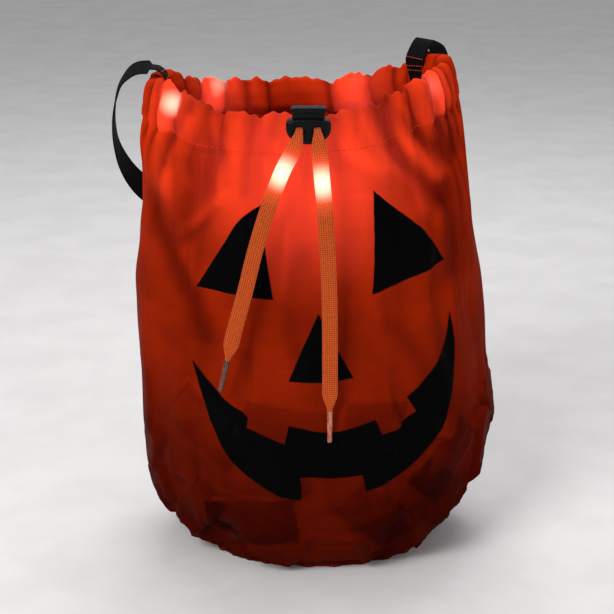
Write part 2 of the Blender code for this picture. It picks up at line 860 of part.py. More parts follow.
def build_tray(slide, frame):
    """The drawer that holds both cells; its lid closes the top of the case."""
    middle = TRAY_BACK - TRAY_DEPTH / 2
    centre = Vector((0, middle, TRAY_BOTTOM + TRAY_HEIGHT / 2)) - slide.location
    mesh = box_mesh("battery_tray", (TRAY_WIDTH, TRAY_DEPTH, TRAY_HEIGHT), centre)
    tray = bevel(add("battery_tray", mesh, "white_plastic", slide), 0.4 * MM, 1)
    cell_room = TRAY_DEPTH - TRAY_FLOOR
    well = rod_mesh(
        "cell_well",
        CELL_RADIUS + GAP,
        cell_room + 4 * MM,
        Vector((0, TRAY_BACK - TRAY_FLOOR - (cell_room + 4 * MM) / 2, CELL_HEIGHT)) - slide.location,
        "Y",
        32,
    )
    cut(tray, well, slide)
    slot_height = CELL_HEIGHT - TRAY_BOTTOM
    slot = box_mesh(
        "contact_slot",
        (5 * MM, 4 * MM, slot_height + 2 * MM),
        Vector((0, TRAY_BACK, TRAY_BOTTOM + slot_height / 2 - 1 * MM)) - slide.location,
    )
    cut(tray, slot, slide)
    screw_well = rod_mesh(
        "screw_well",
        1.25 * MM,
        TRAY_LID * 2,
        SCREW_PLACE - slide.location,
        "Z",
        16,
    )
    cut(tray, screw_well, slide)
    for number, side in enumerate(("back", "front")):
        back = TRAY_BACK - TRAY_FLOOR - GAP - number * (CELL_THICKNESS + GAP)
        place = Vector((0, back - CELL_THICKNESS / 2, CELL_HEIGHT)) - slide.location
        name = "coin_cell_" + side
        cell = rod_mesh(name, CELL_RADIUS, CELL_THICKNESS, place, "Y", 32)
        bevel(add(name, cell, "steel", slide), 0.4 * MM, 2)


SCREW_PLACE = Vector((10.6 * MM, TRAY_BACK - TRAY_DEPTH / 2, CASE_HEIGHT / 2))


def build_tray_screw(slide):
    axis = empty("tray_screw_axis", SCREW_PLACE - slide.location, slide)
    head = rod_mesh("tray_screw", 0.95 * MM, 2.4 * MM, (0, 0, -1.4 * MM), "Z", 16)
    screw = add("tray_screw", head, "steel", axis)
    for turn in (0, math.pi / 2):
        groove = box_mesh("driver_groove", (2.4 * MM, 0.35 * MM, 0.8 * MM))
        groove.transform(Matrix.Rotation(turn, 4, "Z"))
        groove.transform(Matrix.Translation((0, 0, -0.2 * MM)))
        cut(screw, groove, axis)


def build_electronics(frame):
    """Board, switch and contacts below and beside the cells, and the button over the switch."""
    board_y = BACK_FACE - 3.4 * MM
    board = box_mesh("circuit_board", (25 * MM, BOARD_THICKNESS, 10 * MM), (0, board_y, BUTTON_HEIGHT))
    add("circuit_board", board, "board_green", frame)

    switch_back = board_y - BOARD_THICKNESS / 2 - GAP
    body = box_mesh("tact_switch", (6 * MM, 3.2 * MM, 6 * MM))
    body.transform(Matrix.Translation((0, switch_back - 1.6 * MM, BUTTON_HEIGHT)))
    switch = add("tact_switch", body, "black_plastic", frame)
    nub = rod_mesh("switch_nub", 1.7 * MM, 1.4 * MM, (0, switch_back - 3.2 * MM, BUTTON_HEIGHT), "Y")
    join(switch, nub, frame)

    press = empty("button_axis", (0, FRONT_FACE, BUTTON_HEIGHT), frame)
    nub_tip = switch_back - 3.9 * MM
    inner_end = nub_tip - 0.8 * MM - FRONT_FACE
    outer_end = -1.0 * MM
    length = inner_end - outer_end
    cap = rod_mesh("push_button", BUTTON_RADIUS, length, (0, (inner_end + outer_end) / 2, 0), "Y")
    bevel(add("push_button", cap, "black_plastic", press), 0.5 * MM, 2)

    leaf_low = BUTTON_HEIGHT + 5.6 * MM
    leaf_high = CELL_HEIGHT - 2 * MM
    tall = leaf_high - leaf_low
    plus_y = TRAY_BACK - 0.5 * MM
    plus = box_mesh("contact_plus", (3.6 * MM, CONTACT_THICKNESS, tall), (0, plus_y, leaf_low + tall / 2))
    add("contact_plus", plus, "steel", frame)
    minus_y = TRAY_BACK - TRAY_DEPTH - 0.6 * MM
    minus = box_mesh("contact_minus", (6 * MM, CONTACT_THICKNESS, tall), (0, minus_y, leaf_low + tall / 2))
    add("contact_minus", minus, "steel", frame)


def build_pocket(frame):
    """A cloth pocket sewn to the back panel, open at the top, that holds the case."""
    half, low, high = 19 * MM, -23 * MM, 13 * MM
    front, back = FRONT_FACE - 1.8 * MM, -2.6 * MM
    corner = 4 * MM
    outline_points = [(-half, back)]
    for cx, turn in ((-1, math.pi), (1, 1.5 * math.pi)):
        for k in range(5):
            a = turn + math.pi / 2 * k / 4
            x = cx * (half - corner) + corner * math.cos(a)
            y = front + corner + corner * math.sin(a)
            outline_points.append((x, y))
    outline_points.append((half, back))

    def build(bm):
        rows = []
        for z in (low, (low + high) / 2, high):
            rows.append([bm.verts.new((x, y, z)) for x, y in outline_points])
        for a, b in zip(rows, rows[1:]):
            for k in range(len(a) - 1):
                bm.faces.new([a[k], a[k + 1], b[k + 1], b[k]])
        bm.faces.new(rows[0][::-1])

    pocket = add("battery_pocket", mesh_from("battery_pocket", build), "orange_cloth", frame)
    shell = pocket.modifiers.new("cloth", "SOLIDIFY")
    shell.thickness = 0.8 * MM
    shell.offset = -1


def build_lead(frame):
    """The two-core lead, from the case up into the drawstring."""
    bpy.context.view_layer.update()
    to_world = frame.matrix_world
    side = CASE_WIDTH / 2
    middle = tunnel_point(LEAD_ANGLE)
    entry = lead_entry()
    inside = middle.z - LACE_WIDTH / 2 + 1.6 * MM
    points = [
        to_world @ Vector((side + 0.4 * MM, CASE_MIDDLE, BUTTON_HEIGHT)),
        to_world @ Vector((side + 1.2 * MM, CASE_MIDDLE, BUTTON_HEIGHT + 2.5 * MM)),
        to_world @ Vector((side + 1.5 * MM, CASE_MIDDLE, BUTTON_HEIGHT + 12 * MM)),
        to_world @ Vector((side + 1.5 * MM, CASE_MIDDLE, CASE_HEIGHT / 2)),
        entry + Vector((2.4 * MM, -5 * MM, -16 * MM)),
        entry + Vector((1 * MM, 0, -6 * MM)),
        entry,
        lead_in_tunnel(),
        Vector((entry.x, middle.y, inside)),
    ]
    wire("battery_lead", smooth_path(points, 34), 0.9 * MM, "black_plastic")


def build_battery():
    frame = battery_frame()
    build_case(frame)
    slide = empty("tray_axis", (0, TRAY_BACK - TRAY_DEPTH / 2, 0), frame)
    build_tray(slide, frame)
    build_tray_screw(slide)
    build_electronics(frame)
    build_pocket(frame)
    build_lead(frame)


def main():
    build_panels()
    build_bottom()
    build_lace()
    build_hem_lights()
    slide = empty("lock_axis", LOCK)
    build_lock(slide)
    build_tail("left", LEFT_TAIL, slide)
    build_tail("right", RIGHT_TAIL, slide)
    build_handle()
    build_battery()


main()
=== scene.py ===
"""The looks of a light-up jack-o'-lantern treat bag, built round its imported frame.

The bag stands on the floor and its front faces -Y. Metres, +Z up; tables are in mm.
"""

import math
import random

import bmesh
import bpy
import numpy as np
from mathutils import Matrix, Vector
from mathutils.bvhtree import BVHTree
from mathutils.geometry import delaunay_2d_cdt


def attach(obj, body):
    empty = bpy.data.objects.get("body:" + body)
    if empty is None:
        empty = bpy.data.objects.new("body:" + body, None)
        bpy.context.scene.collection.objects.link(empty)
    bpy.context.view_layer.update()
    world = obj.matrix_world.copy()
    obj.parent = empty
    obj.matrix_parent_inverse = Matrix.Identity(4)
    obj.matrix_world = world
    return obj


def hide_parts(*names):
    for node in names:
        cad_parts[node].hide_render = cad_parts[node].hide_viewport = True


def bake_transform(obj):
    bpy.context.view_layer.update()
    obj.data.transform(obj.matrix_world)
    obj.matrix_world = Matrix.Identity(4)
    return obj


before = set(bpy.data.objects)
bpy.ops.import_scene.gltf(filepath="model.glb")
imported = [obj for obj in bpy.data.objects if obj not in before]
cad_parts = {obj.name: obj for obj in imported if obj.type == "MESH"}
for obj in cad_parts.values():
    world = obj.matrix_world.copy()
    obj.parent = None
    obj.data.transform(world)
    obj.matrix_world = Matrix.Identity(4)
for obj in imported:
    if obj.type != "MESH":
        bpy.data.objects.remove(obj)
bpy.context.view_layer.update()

MM = 0.001
FULL = 2 * math.pi
UP = Vector((0, 0, 1))

# ---- sizes shared with the frame

BASE_CORNER_WIDTH = 42 * MM
BASE_CORNER_DEPTH = 30 * MM
BASE_CORNER_HEIGHT = 62 * MM
OVALNESS = 2.1
# Height, half width, half depth and sideways sag of the filled sack, in mm.
SACK = [
    (62, 130.5, 104, 9), (104, 135.5, 108, 10), (165, 132.5, 106, 2), (235, 127.5, 100, 0),
    (285, 125, 92, 2), (318, 121, 84, 1), (345, 112, 75, -2), (372, 107, 70, -4),
]
HEM = 28 * MM
HEM_THICKNESS = 8.4 * MM
RIM_LOW = 345.5 * MM
RIM_SIDE_RISE = 21 * MM
RIM_TILT = 6 * MM

LACE_WIDTH = 11 * MM
LACE_DROP = 12.5 * MM
LACE_HOLE_WIDTH = 5.2 * MM
AGLET_LENGTH = 24 * MM
LOCK = Vector((3, -90, 338)) * MM
LOCK_WIDTH = 31 * MM
LOCK_HEIGHT = 18 * MM
LOCK_DEPTH = 14 * MM
CORD_HOLE_OFFSET = 6.2 * MM
CORD_HOLE_RADIUS = 3.75 * MM
PLUNGER_TRAVEL = 3.2 * MM
RIB_PITCH = 2.6 * MM
LACE_IN_LOCK = LOCK.z + PLUNGER_TRAVEL / 2
WEBBING_WIDTH = 20 * MM
WEBBING_THICKNESS = 1.2 * MM
STITCH_ROWS = (3, 8, 18, 22, 28)
STITCHES_ACROSS = 7

LEFT_TAIL = [
    (-3.2, -90.0, 339.6), (-3.2, -96.0, 339.6), (-3.6, -102.0, 338.2), (-4.9, -106.6, 333.8),
    (-7.6, -108.6, 327.0), (-15.5, -109.0, 311.5), (-25.0, -108.8, 286.0), (-33.5, -108.8, 258.0),
    (-41.0, -109.2, 228.0), (-48.6, -109.6, 200.0), (-54.2, -109.4, 176.5),
]
RIGHT_TAIL = [
    (9.2, -90.0, 339.6), (9.2, -96.0, 339.6), (9.4, -102.0, 338.2), (9.8, -106.6, 333.8),
    (10.5, -108.6, 327.0), (12.2, -109.0, 308.5), (14.8, -109.0, 280.0), (16.8, -109.4, 245.0),
    (17.9, -110.6, 210.0), (18.2, -111.8, 172.0), (18.2, -112.0, 139.5),
]
STRAP_ROUTE = [
    (-113.5, 1, 366.5), (-124.0, 2, 365.0), (-134.0, 7, 356.0), (-141.0, 14, 338.0),
    (-143.5, 24, 314.0), (-140.5, 37, 291.0), (-130.0, 54, 268.0), (-111.0, 73, 248.0),
    (-86.0, 90, 233.0), (-50.0, 103.5, 223.5), (-10.0, 109.5, 220.0), (35.0, 107.5, 223.5),
    (70.0, 97.0, 236.0), (95.0, 79.0, 258.0), (106.0, 66.0, 288.0), (107.0, 58.0, 322.0),
    (104.5, 51.0, 347.0), (103.0, 45.5, 364.0), (99.0, 41.0, 376.0), (91.5, 35.0, 381.5),
]
STRAP_END_ANGLES = {"left": math.pi, "right": math.radians(28)}
HEM_LIGHT_ANGLES = {"front_left": 215, "back_left": 126, "back_right": 66, "front_right": -32}
# How bright the middle of each light shows through the hem.
HEM_LIGHT_CORES = {"front_left": 1.35, "back_left": 1.05, "back_right": 0.15, "front_right": 0.10}

# Share of the light that shows through the hem, and how far round it reaches.
LIT_GATHER = (1.0, 34 * MM)
BESIDE_LIT_GATHER = (0.42, 24 * MM)

# ---- sizes of the looks

COLUMNS = 216
CORNER_ROWS = 18
WALL_ROWS = 60
CLOTH_ROUND = 790 * MM
BASE_ROUND = 610 * MM
ROW_SLACK = 1.012
PLEATS = 27
PLEAT_SHARE = 0.19
PLEAT_LIMIT = 6.0 * MM
GATHER_FADE = 24 * MM
CREASE_FADE = 46 * MM
FAN_SPREAD = 0.62
SEAM_PINCH = 1.4 * MM
BASE_PUCKER = 1.6
CLEAR_OF_TREATS = 6 * MM
FOLDS = 7
DRAPE_FRAMES = 36
FRONT_LIMIT = -107.0 * MM
FLOOR_LIMIT = 0.4 * MM
STRAIGHT_HEIGHT = 250 * MM
MEAN_RADIUS = 96 * MM
WEAVE_PITCH = 0.9 * MM
WEAVE_RELIEF = 0.05 * MM
BUTTONHOLE_HALF_WIDTH = 12.5 * MM
BUTTONHOLE_HALF_HEIGHT = 4.6 * MM
PRINT_LIFT = 0.40 * MM
EDGE_STEP = 0.7
TAIL_LIGHT_REACH = {"left": 41 * MM, "right": 47 * MM}

# Height in mm and number of the treats in each layer.
TREAT_LAYERS = ((20, 11), (52, 12), (88, 12), (122, 11))
# How the thin cloth hangs, as cloth simulation settings.
THIN_POLYESTER = {
    "quality": 6, "mass": 0.0015, "air_damping": 1.5,
    "tension_stiffness": 60, "compression_stiffness": 40,
    "shear_stiffness": 12, "bending_stiffness": 1.6,
    "tension_damping": 8, "compression_damping": 8, "shear_damping": 5, "bending_damping": 0.6,
    "use_pressure": True, "uniform_pressure_force": 0.3,
}
# Where the wall is pushed out: angle, height, how far round in degrees, how far up, how far out.
PUSHED_OUT = [(-12, 36, 30, 21, 7.5), (196, 215, 24, 62, 5.0)]
# Folds that hang from the gathers on the front: width, depth, then places (x, z), all in mm.
HOLLOW_FOLDS = [
    (9, 1.3, [(-79, 350), (-85, 338), (-92, 324), (-99, 306)]),
    (14, 1.9, [(-66, 352), (-68, 342), (-71, 330), (-78, 308)]),
    (24, 2.0, [(-66, 318), (-71, 304), (-77, 288), (-87, 264)]),
    (8, 0.9, [(-62, 278), (-70, 268), (-78, 260), (-88, 252)]),
    (10, 1.5, [(-34, 350), (-37, 336), (-40, 318), (-41, 292)]),
    (9, 1.5, [(-17, 354), (-20, 344), (-21, 334)]),
    (7, 0.6, [(-44, 352), (-50, 343), (-56, 335)]),
    (20, 1.9, [(-108, 280), (-101, 258), (-92, 236), (-80, 214), (-72, 186)]),
    (9, 0.8, [(-8, 296), (-9, 284), (-14, 275), (-23, 268)]),
    (13, 1.7, [(54, 356), (62, 345), (72, 336), (84, 326), (104, 310)]),
    (19, 2.2, [(43, 356), (48, 344), (55, 332), (65, 317), (77, 303), (96, 284)]),
    (11, 0.7, [(15, 320), (25, 314), (36, 309), (49, 300)]),
    (8, 1.0, [(33, 354), (35, 346), (36, 336)]),
    (5, 0.5, [(33, 295.5), (47, 295), (62, 294)]),
    (18, 1.5, [(86, 356), (96, 342), (103, 318), (107, 290), (108, 230)]),
    (14, 0.9, [(0, 250), (-7, 232), (-12, 212), (-10, 192), (-4, 174)]),
    (14, 1.0, [(66, 196), (78, 180), (90, 160), (100, 130)]),
]
RIDGE_FOLDS = [
    (8, 1.2, [(-82, 340), (-90, 324), (-97, 308), (-100, 284)]),
    (7, 0.9, [(-62, 342), (-60, 328), (-59, 312), (-60, 296)]),
    (10, 1.2, [(-58, 288), (-66, 278), (-76, 270), (-90, 258)]),
    (16, 1.5, [(-102, 286), (-96, 268), (-87, 250), (-73, 226)]),
    (9, 1.1, [(-28, 350), (-30, 336), (-30, 320), (-25, 306)]),
    (9, 1.4, [(39, 354), (44, 342), (51, 328), (62, 311), (80, 293), (87, 276)]),
    (13, 1.5, [(58, 346), (66, 332), (76, 320), (94, 300)]),
    (10, 1.0, [(20, 334), (30, 322), (42, 316), (56, 308)]),
]
SHADOW_SIZE = 0.62
SHADOW_EDGE = 1.3 * MM
SHADOW_TONE = 0.75
HOLLOW_DEPTH = 1.7 * MM
RIDGE_DEPTH = 1.2 * MM
FOLD_PRESS = 1.4
CREASE_SHADE = 0.95


# ---- nodes

class Wiring:
    """A material with node making in short words."""

    def __init__(self, name, colour, roughness, fixed=None):
        self.material = bpy.data.materials.new(name)
        self.material.use_nodes = True
        self.tree = self.material.node_tree
        self.shader = self.tree.nodes["Principled BSDF"]
        self.set("Base Color", (*colour, 1))
        self.set("Roughness", roughness)
        for socket, value in (fixed or {}).items():
            self.set(socket, value)
        where = self.node("ShaderNodeTexCoord")
        self.place = where.outputs["Object"]
        self.uv = where.outputs["UV"]

    def plug(self, node, socket, value):
        """Gives a node's input another node's output or a plain value."""
        if isinstance(value, bpy.types.NodeSocket):
            self.tree.links.new(value, node.inputs[socket])
        else:
            node.inputs[socket].default_value = value

    def set(self, socket, value):
        self.plug(self.shader, socket, value)

    def node(self, kind, inputs=None, **settings):
        made = self.tree.nodes.new(kind)
        for key, value in settings.items():
            setattr(made, key, value)
        for key, value in (inputs or {}).items():
            self.plug(made, key, value)
        return made

    def math(self, operation, a, b=0.0, c=0.0):
        return self.node("ShaderNodeMath", {0: a, 1: b, 2: c}, operation=operation).outputs[0]

    def vector_math(self, operation, a, b):
        return self.node("ShaderNodeVectorMath", {0: a, 1: b}, operation=operation).outputs

    def split(self, vector):
        return self.node("ShaderNodeSeparateXYZ", {0: vector}).outputs

    def stretch(self, vector, scale):
        return self.vector_math("MULTIPLY", vector, scale)[0]

    def ramp(self, value, low, high, start, end):
        """start below low, end above high, and a smooth change between."""
        inputs = {0: value, 1: low, 2: high, 3: start, 4: end}
        return self.node("ShaderNodeMapRange", inputs, interpolation_type="SMOOTHSTEP").outputs[0]

    def noise(self, vector, scale, detail=3.0, roughness=0.55):
        inputs = {"Vector": vector, "Scale": scale, "Detail": detail, "Roughness": roughness}
        return self.node("ShaderNodeTexNoise", inputs).outputs[0]

    def mix(self, share, a, b):
        """Mixes two colours."""
        inputs = {0: share, 6: (*a, 1), 7: (*b, 1)}
        return self.node("ShaderNodeMix", inputs, data_type="RGBA").outputs[2]

    def spread(self, pattern, low, high):
        """A noise pattern, whose values keep to the middle, spread from low to high."""
        return self.ramp(pattern, 0.3, 0.7, low, high)

    def vary(self, tone, pattern, low, high):
        """A tone made darker or lighter by a noise pattern."""
        return self.math("MULTIPLY", tone, self.spread(pattern, low, high))

    def stretched_noise(self, vector, scale, *settings):
        """Noise of a different size in each direction: fibres, slubs and brush marks."""
        return self.noise(self.stretch(vector, scale), 1.0, *settings)

    def weave(self):
        """The bump of a plain weave."""
        u, v = self.split(self.uv)[:2]
        threads = self.math("MULTIPLY", self.wave(u, WEAVE_PITCH), self.wave(v, WEAVE_PITCH))
        return self.bump(threads, WEAVE_RELIEF, 0.5)

    def tint(self, colour, tone):
        """The base colour, made darker or lighter by a tone."""
        self.set("Base Color", self.scale_colour(colour, tone))

    def scale_colour(self, colour, amount):
        inputs = {0: colour, 3: amount}
        return self.node("ShaderNodeVectorMath", inputs, operation="SCALE").outputs[0]

    def add(self, a, b):
        return self.vector_math("ADD", a, b)[0]

    def distance(self, point):
        return self.vector_math("DISTANCE", self.place, tuple(point))[1]

    def wave(self, value, period):
        return self.math("SINE", self.math("MULTIPLY_ADD", value, FULL / period))

    def bump(self, height, depth, strength=1.0, under=None):
        inputs = {"Strength": strength, "Distance": depth, "Height": height}
        if under is not None:
            inputs["Normal"] = under
        return self.node("ShaderNodeBump", inputs).outputs[0]


GLOW_CORE = (1.0, 0.62, 0.45)
GLOW_HALO = (1.0, 0.060, 0.030)


def glow(wiring, lights, total=None):
    """Light that shines through cloth; lights are (point, core radius, halo radius, core, halo)."""
    for point, core_radius, halo_radius, core, halo in lights:
        away = wiring.distance(point)
        parts = ((core_radius, core, GLOW_CORE), (halo_radius, halo, GLOW_HALO))
        for radius, power, colour in parts:
            amount = wiring.ramp(away, 0.0, radius, power, 0.0)
            part = wiring.scale_colour(colour, amount)
            total = part if total is None else wiring.add(total, part)
    wiring.set("Emission Color", total)
    wiring.set("Emission Strength", 1.0)


# ---- mesh making

def link(item):
    bpy.context.scene.collection.objects.link(item)
    return item


def smooth_shade(mesh, material, sharp=None):
    """Smooth shading; edges that turn by more than sharp degrees stay crisp."""
    mesh.polygons.foreach_set("use_smooth", [True] * len(mesh.polygons))
    if sharp is not None:
        mesh.set_sharp_from_angle(angle=math.radians(sharp))
    mesh.materials.clear()
    mesh.materials.append(material)


def finish_mesh(name, mesh, material, sharp=None):
    """A smooth-shaded object."""
    smooth_shade(mesh, material, sharp)
    return link(bpy.data.objects.new(name, mesh))


def with_uv(mesh, uv_of_vertex):
    """One UV for each vertex, in metres."""
    layer = mesh.uv_layers.new(name="metres")
    corners = np.empty(len(mesh.loops), np.int32)
    mesh.loops.foreach_get("vertex_index", corners)
    layer.data.foreach_set("uv", np.asarray(uv_of_vertex, np.float32)[corners].ravel())


def grid_faces(rows, columns, keep=None):
    """Quads of a grid of points, left out where keep(row, column) is false."""
    faces = []
    for r in range(rows - 1):
        for c in range(columns - 1):
            if keep is None or keep(r, c):
                a = r * columns + c
                faces.append((a, a + 1, a + columns + 1, a + columns))
    return faces


def round_faces(rows, columns, start=0):
    """Quads of a grid that closes round."""
    faces = []
    for r in range(rows - 1):
        for c in range(columns):
            n = (c + 1) % columns
            a, b = start + r * columns, start + (r + 1) * columns
            faces.append((a + c, a + n, b + n, b + c))
    return faces


def round_mesh(name, points):
    """A sheet that closes round, from an array of points."""
    mesh = bpy.data.meshes.new(name)
    mesh.from_pydata(points.reshape(-1, 3).tolist(), [], round_faces(*points.shape[:2]))
    return mesh


def grid_mesh(name, points, uv, keep=None):
    """A sheet from an array of points, rows by columns."""
    rows, columns = points.shape[:2]
    mesh = bpy.data.meshes.new(name)
    mesh.from_pydata(points.reshape(-1, 3).tolist(), [], grid_faces(rows, columns, keep))
    with_uv(mesh, uv.reshape(-1, 2))
    return mesh


def tube_mesh(name, rings, run, capped=True):
    """Skins rings of points; UVs are round the ring and along the run, in metres."""
    sides = len(rings[0])
    points = [p for ring in rings for p in ring + ring[:1]]
    across = []
    for ring in rings:
        total = 0.0
        across.append(total)
        for k in range(sides):
            total += (ring[(k + 1) % sides] - ring[k]).length
            across.append(total)
    uv = [(across[i], run[i // (sides + 1)]) for i in range(len(points))]
    mesh = bpy.data.meshes.new(name)
    faces = grid_faces(len(rings), sides + 1)
    if capped:
        last = (len(rings) - 1) * (sides + 1)
        faces.append(tuple(range(sides))[::-1])
        faces.append(tuple(last + k for k in range(sides)))
    mesh.from_pydata([tuple(p) for p in points], [], faces)
    with_uv(mesh, uv)
    bm = bmesh.new()
    bm.from_mesh(mesh)
    bmesh.ops.remove_doubles(bm, verts=bm.verts, dist=1e-7)
    bmesh.ops.recalc_face_normals(bm, faces=bm.faces)
    bm.to_mesh(mesh)
    bm.free()
    return mesh


def smooth_path(points, count):
    """Evenly spaced points on a smooth curve through the given ones."""
    points = [Vector(p) for p in points]
    fine = []
    steps = 16
    for i in range(len(points) - 1):
        a = points[max(i - 1, 0)]
        b, c = points[i], points[i + 1]
        d = points[min(i + 2, len(points) - 1)]
        for k in range(steps):
            t = k / steps
            fine.append(
                b * (1 + t * t * (2 * t - 3))
                + c * (t * t * (3 - 2 * t))
                + (c - a) * (0.5 * t * (1 - t) ** 2)
                - (d - b) * (0.5 * t * t * (1 - t))
            )
    fine.append(points[-1])
    run = path_run(fine)
    path = []
    k = 0
    for i in range(count):
        want = run[-1] * i / (count - 1)
        while k < len(run) - 2 and run[k + 1] < want:
            k += 1
        share = (want - run[k]) / max(run[k + 1] - run[k], 1e-9)
        path.append(fine[k].lerp(fine[k + 1], min(share, 1)))
    return path


def in_mm(table):
    """A table's points, which are in mm, as vectors in metres."""
    return [Vector(p) * MM for p in table]


def path_run(path):
    """Length along a path at each of its points."""
    run = [0.0]
    for a, b in zip(path, path[1:]):
        run.append(run[-1] + (b - a).length)
    return run


def direction(path, i):
    return (path[min(i + 1, len(path) - 1)] - path[max(i - 1, 0)]).normalized()


def soft_step(value, low, high):
    share = min(max((value - low) / (high - low), 0), 1)
    return share * share * (3 - 2 * share)


def rounded(value, power):
    """A sine or cosine drawn out, so that a circle turns into a rounded box."""
    return math.copysign(abs(value) ** power, value)


def turn_from(angle, other):
    """The angle counted from another one, negative before it."""
    return (angle - other + math.pi) % FULL - math.pi


# ---- the sack's outline

def smooth_value(stations, at, column):
    """Reads one column of a table of stations along a smooth curve through them."""
    last = len(stations) - 1
    place = 0
    while place < last - 1 and at > stations[place + 1][0]:
        place += 1
    low, high = stations[place], stations[place + 1]
    span = high[0] - low[0]
    share = min(max((at - low[0]) / span, 0), 1)
    before = stations[max(place - 1, 0)]
    after = stations[min(place + 2, last)]
    slope_low = (high[column] - before[column]) / (high[0] - before[0]) * span
    slope_high = (after[column] - low[column]) / (after[0] - low[0]) * span
    square, cube = share ** 2, share ** 3
    return (
        (2 * cube - 3 * square + 1) * low[column]
        + (cube - 2 * square + share) * slope_low
        + (3 * square - 2 * cube) * high[column]
        + (cube - square) * slope_high
    )


def half_sizes(height):
    """Half width, half depth and sideways sag of the sack at a height."""
    at = max(height, BASE_CORNER_HEIGHT) / MM
    width, depth, sag = (smooth_value(SACK, at, c) * MM for c in (1, 2, 3))
    if height < BASE_CORNER_HEIGHT:
        tuck = 1 - math.sqrt(1 - (1 - height / BASE_CORNER_HEIGHT) ** 2)
        width -= BASE_CORNER_WIDTH * tuck
        depth -= BASE_CORNER_DEPTH * tuck
    return width, depth, sag


def outline(angle, height, inset=0.0):
    """A point on the sack; angle 0 is the right side, a quarter turn is the back."""
    width, depth, sag = half_sizes(height)
    x = rounded(math.cos(angle), 2 / OVALNESS) * (width - inset)
    y = rounded(math.sin(angle), 2 / OVALNESS) * (depth - inset)
    return Vector((sag + x, y, height))


def sideways(angle, height):
    """The level direction out of the sack."""
    along = outline(angle + 0.01, height) - outline(angle - 0.01, height)
    return Vector((along.y, -along.x, 0)).normalized()


def rim_height(angle):
    return RIM_LOW + RIM_SIDE_RISE * math.cos(angle) ** 2 + RIM_TILT * math.cos(angle)


def round_length(height):
    """Length round the outline at a height."""
    ring = [outline(FULL * k / 90, height) for k in range(91)]
    return path_run(ring)[-1]


def tunnel_point(angle, drop=LACE_DROP, shift=0.0):
    """The middle of the drawstring tunnel."""
    return outline(angle, rim_height(angle) - drop, HEM_THICKNESS / 2 + shift)


# ---- gathers and folds

def pleat_phase(angle):
    return (
        PLEATS * angle
        + 2.4 * math.sin(2 * angle + 0.7)
        + 1.7 * math.sin(5 * angle + 2.1)
        + 0.9 * math.sin(11 * angle + 4.0)
    )


def pleat_depth(angle):
    """Half depth of a gather: wide gathers are deep ones."""
    rate = (pleat_phase(angle + 0.01) - pleat_phase(angle - 0.01)) / 0.02
    width = FULL * MEAN_RADIUS / rate
    return min(PLEAT_SHARE * width, PLEAT_LIMIT)


def pleat(angle):
    """From -1 in a crease to 1 on the round top of a gather."""
    return 2 * abs(math.sin(pleat_phase(angle) / 2)) ** 0.8 - 1


def gather_at_seam(angle):
    """How far the hem's lower seam stands out of the outline."""
    foot = rim_height(angle) - HEM
    return pleat_depth(angle) * pleat(angle) * calm_at_lock(angle, foot)


def crinkle(angle, up):
    """Small puckers between the gathers, which wander as they rise."""
    return (
        0.45 * math.sin(67 * angle + 2.0 * math.sin(6 * angle) + 1.3 * up)
        + 0.35 * math.sin(94 * angle + 1.5 * math.sin(4 * angle + 1) - 2.1 * up)
    )


def calm_at_lock(angle, height):
    """Less gathering right behind the cord lock, where the lace holds the cloth out."""
    point = outline(angle, height)
    if point.y > 0:
        return 1.0
    return 0.35 + 0.65 * soft_step(abs(point.x - LOCK.x), 11 * MM, 20 * MM)


def from_front(angle):
    """The angle counted from the middle of the front, left negative."""
    return turn_from(angle, -math.pi / 2)


def fan_out(around, drop):
    """Folds start at the hem and spread away from the lock as they fall."""
    spread = FAN_SPREAD * drop / (150 * MM) * math.sin(around)
    return around - spread * math.exp(-drop / (260 * MM))


def hang_fold(angle, drop):
    """The wide folds that fan out and fade from the hem down."""
    spread = fan_out(from_front(angle), drop)
    wander = FOLDS * spread + 1.9 * math.sin(2 * spread + 1.0)
    broad = math.sin(wander + 1.3 * math.sin(drop / (62 * MM)))
    narrow = math.sin(19 * spread + 2.2 + 2.1 * math.sin(3 * spread) + drop / (48 * MM))
    return 0.85 * broad + 0.5 * narrow * math.exp(-drop / (75 * MM))


def swag(angle, drop):
    """Soft slanting hollows where the cloth sags between the folds."""
    around = from_front(angle)
    deep = soft_step(drop, 15 * MM, 70 * MM) * (1 - soft_step(drop, 150 * MM, 230 * MM))
    slanted = 3.2 * abs(around) - drop / (52 * MM)
    long_wave = math.sin(slanted + 1.4 * math.sin(3 * around + 0.6))
    short_wave = math.sin(2.3 * slanted + 2 * math.sin(4 * around + 2.0) + 1.1)
    return deep * (1.7 * long_wave + 0.9 * short_wave) * MM


def fold_depths(points, folds):
    """How far each point of the wall lies in or on the hanging folds on the front, in metres."""
    total = np.zeros(points.shape[:2])
    x, z = points[..., 0], points[..., 2]
    for width, depth, places in folds:
        nearest = np.full(total.shape, 1.0)
        for (x1, z1), (x2, z2) in zip(places, places[1:]):
            dx, dz = (x2 - x1) * MM, (z2 - z1) * MM
            share = ((x - x1 * MM) * dx + (z - z1 * MM) * dz) / (dx * dx + dz * dz)
            share = np.clip(share, 0, 1)
            away = np.hypot(x - x1 * MM - share * dx, z - z1 * MM - share * dz)
            nearest = np.minimum(nearest, away)
        total += depth * MM * np.exp(-((nearest / (0.5 * width * MM)) ** 2))
    return np.where(points[..., 1] < 0, total, 0.0)


def crease(angle, drop):
    """How deep in a gather the cloth lies, fading and fanning out below the hem."""
    drop = max(drop, 0)
    spread = fan_out(from_front(angle), drop) - math.pi / 2
    depth = 0.5 - 0.5 * pleat(spread)
    return depth * math.exp(-drop / CREASE_FADE)


def gather_of(angle):
    return math.floor(pleat_phase(angle) / FULL) % PLEATS


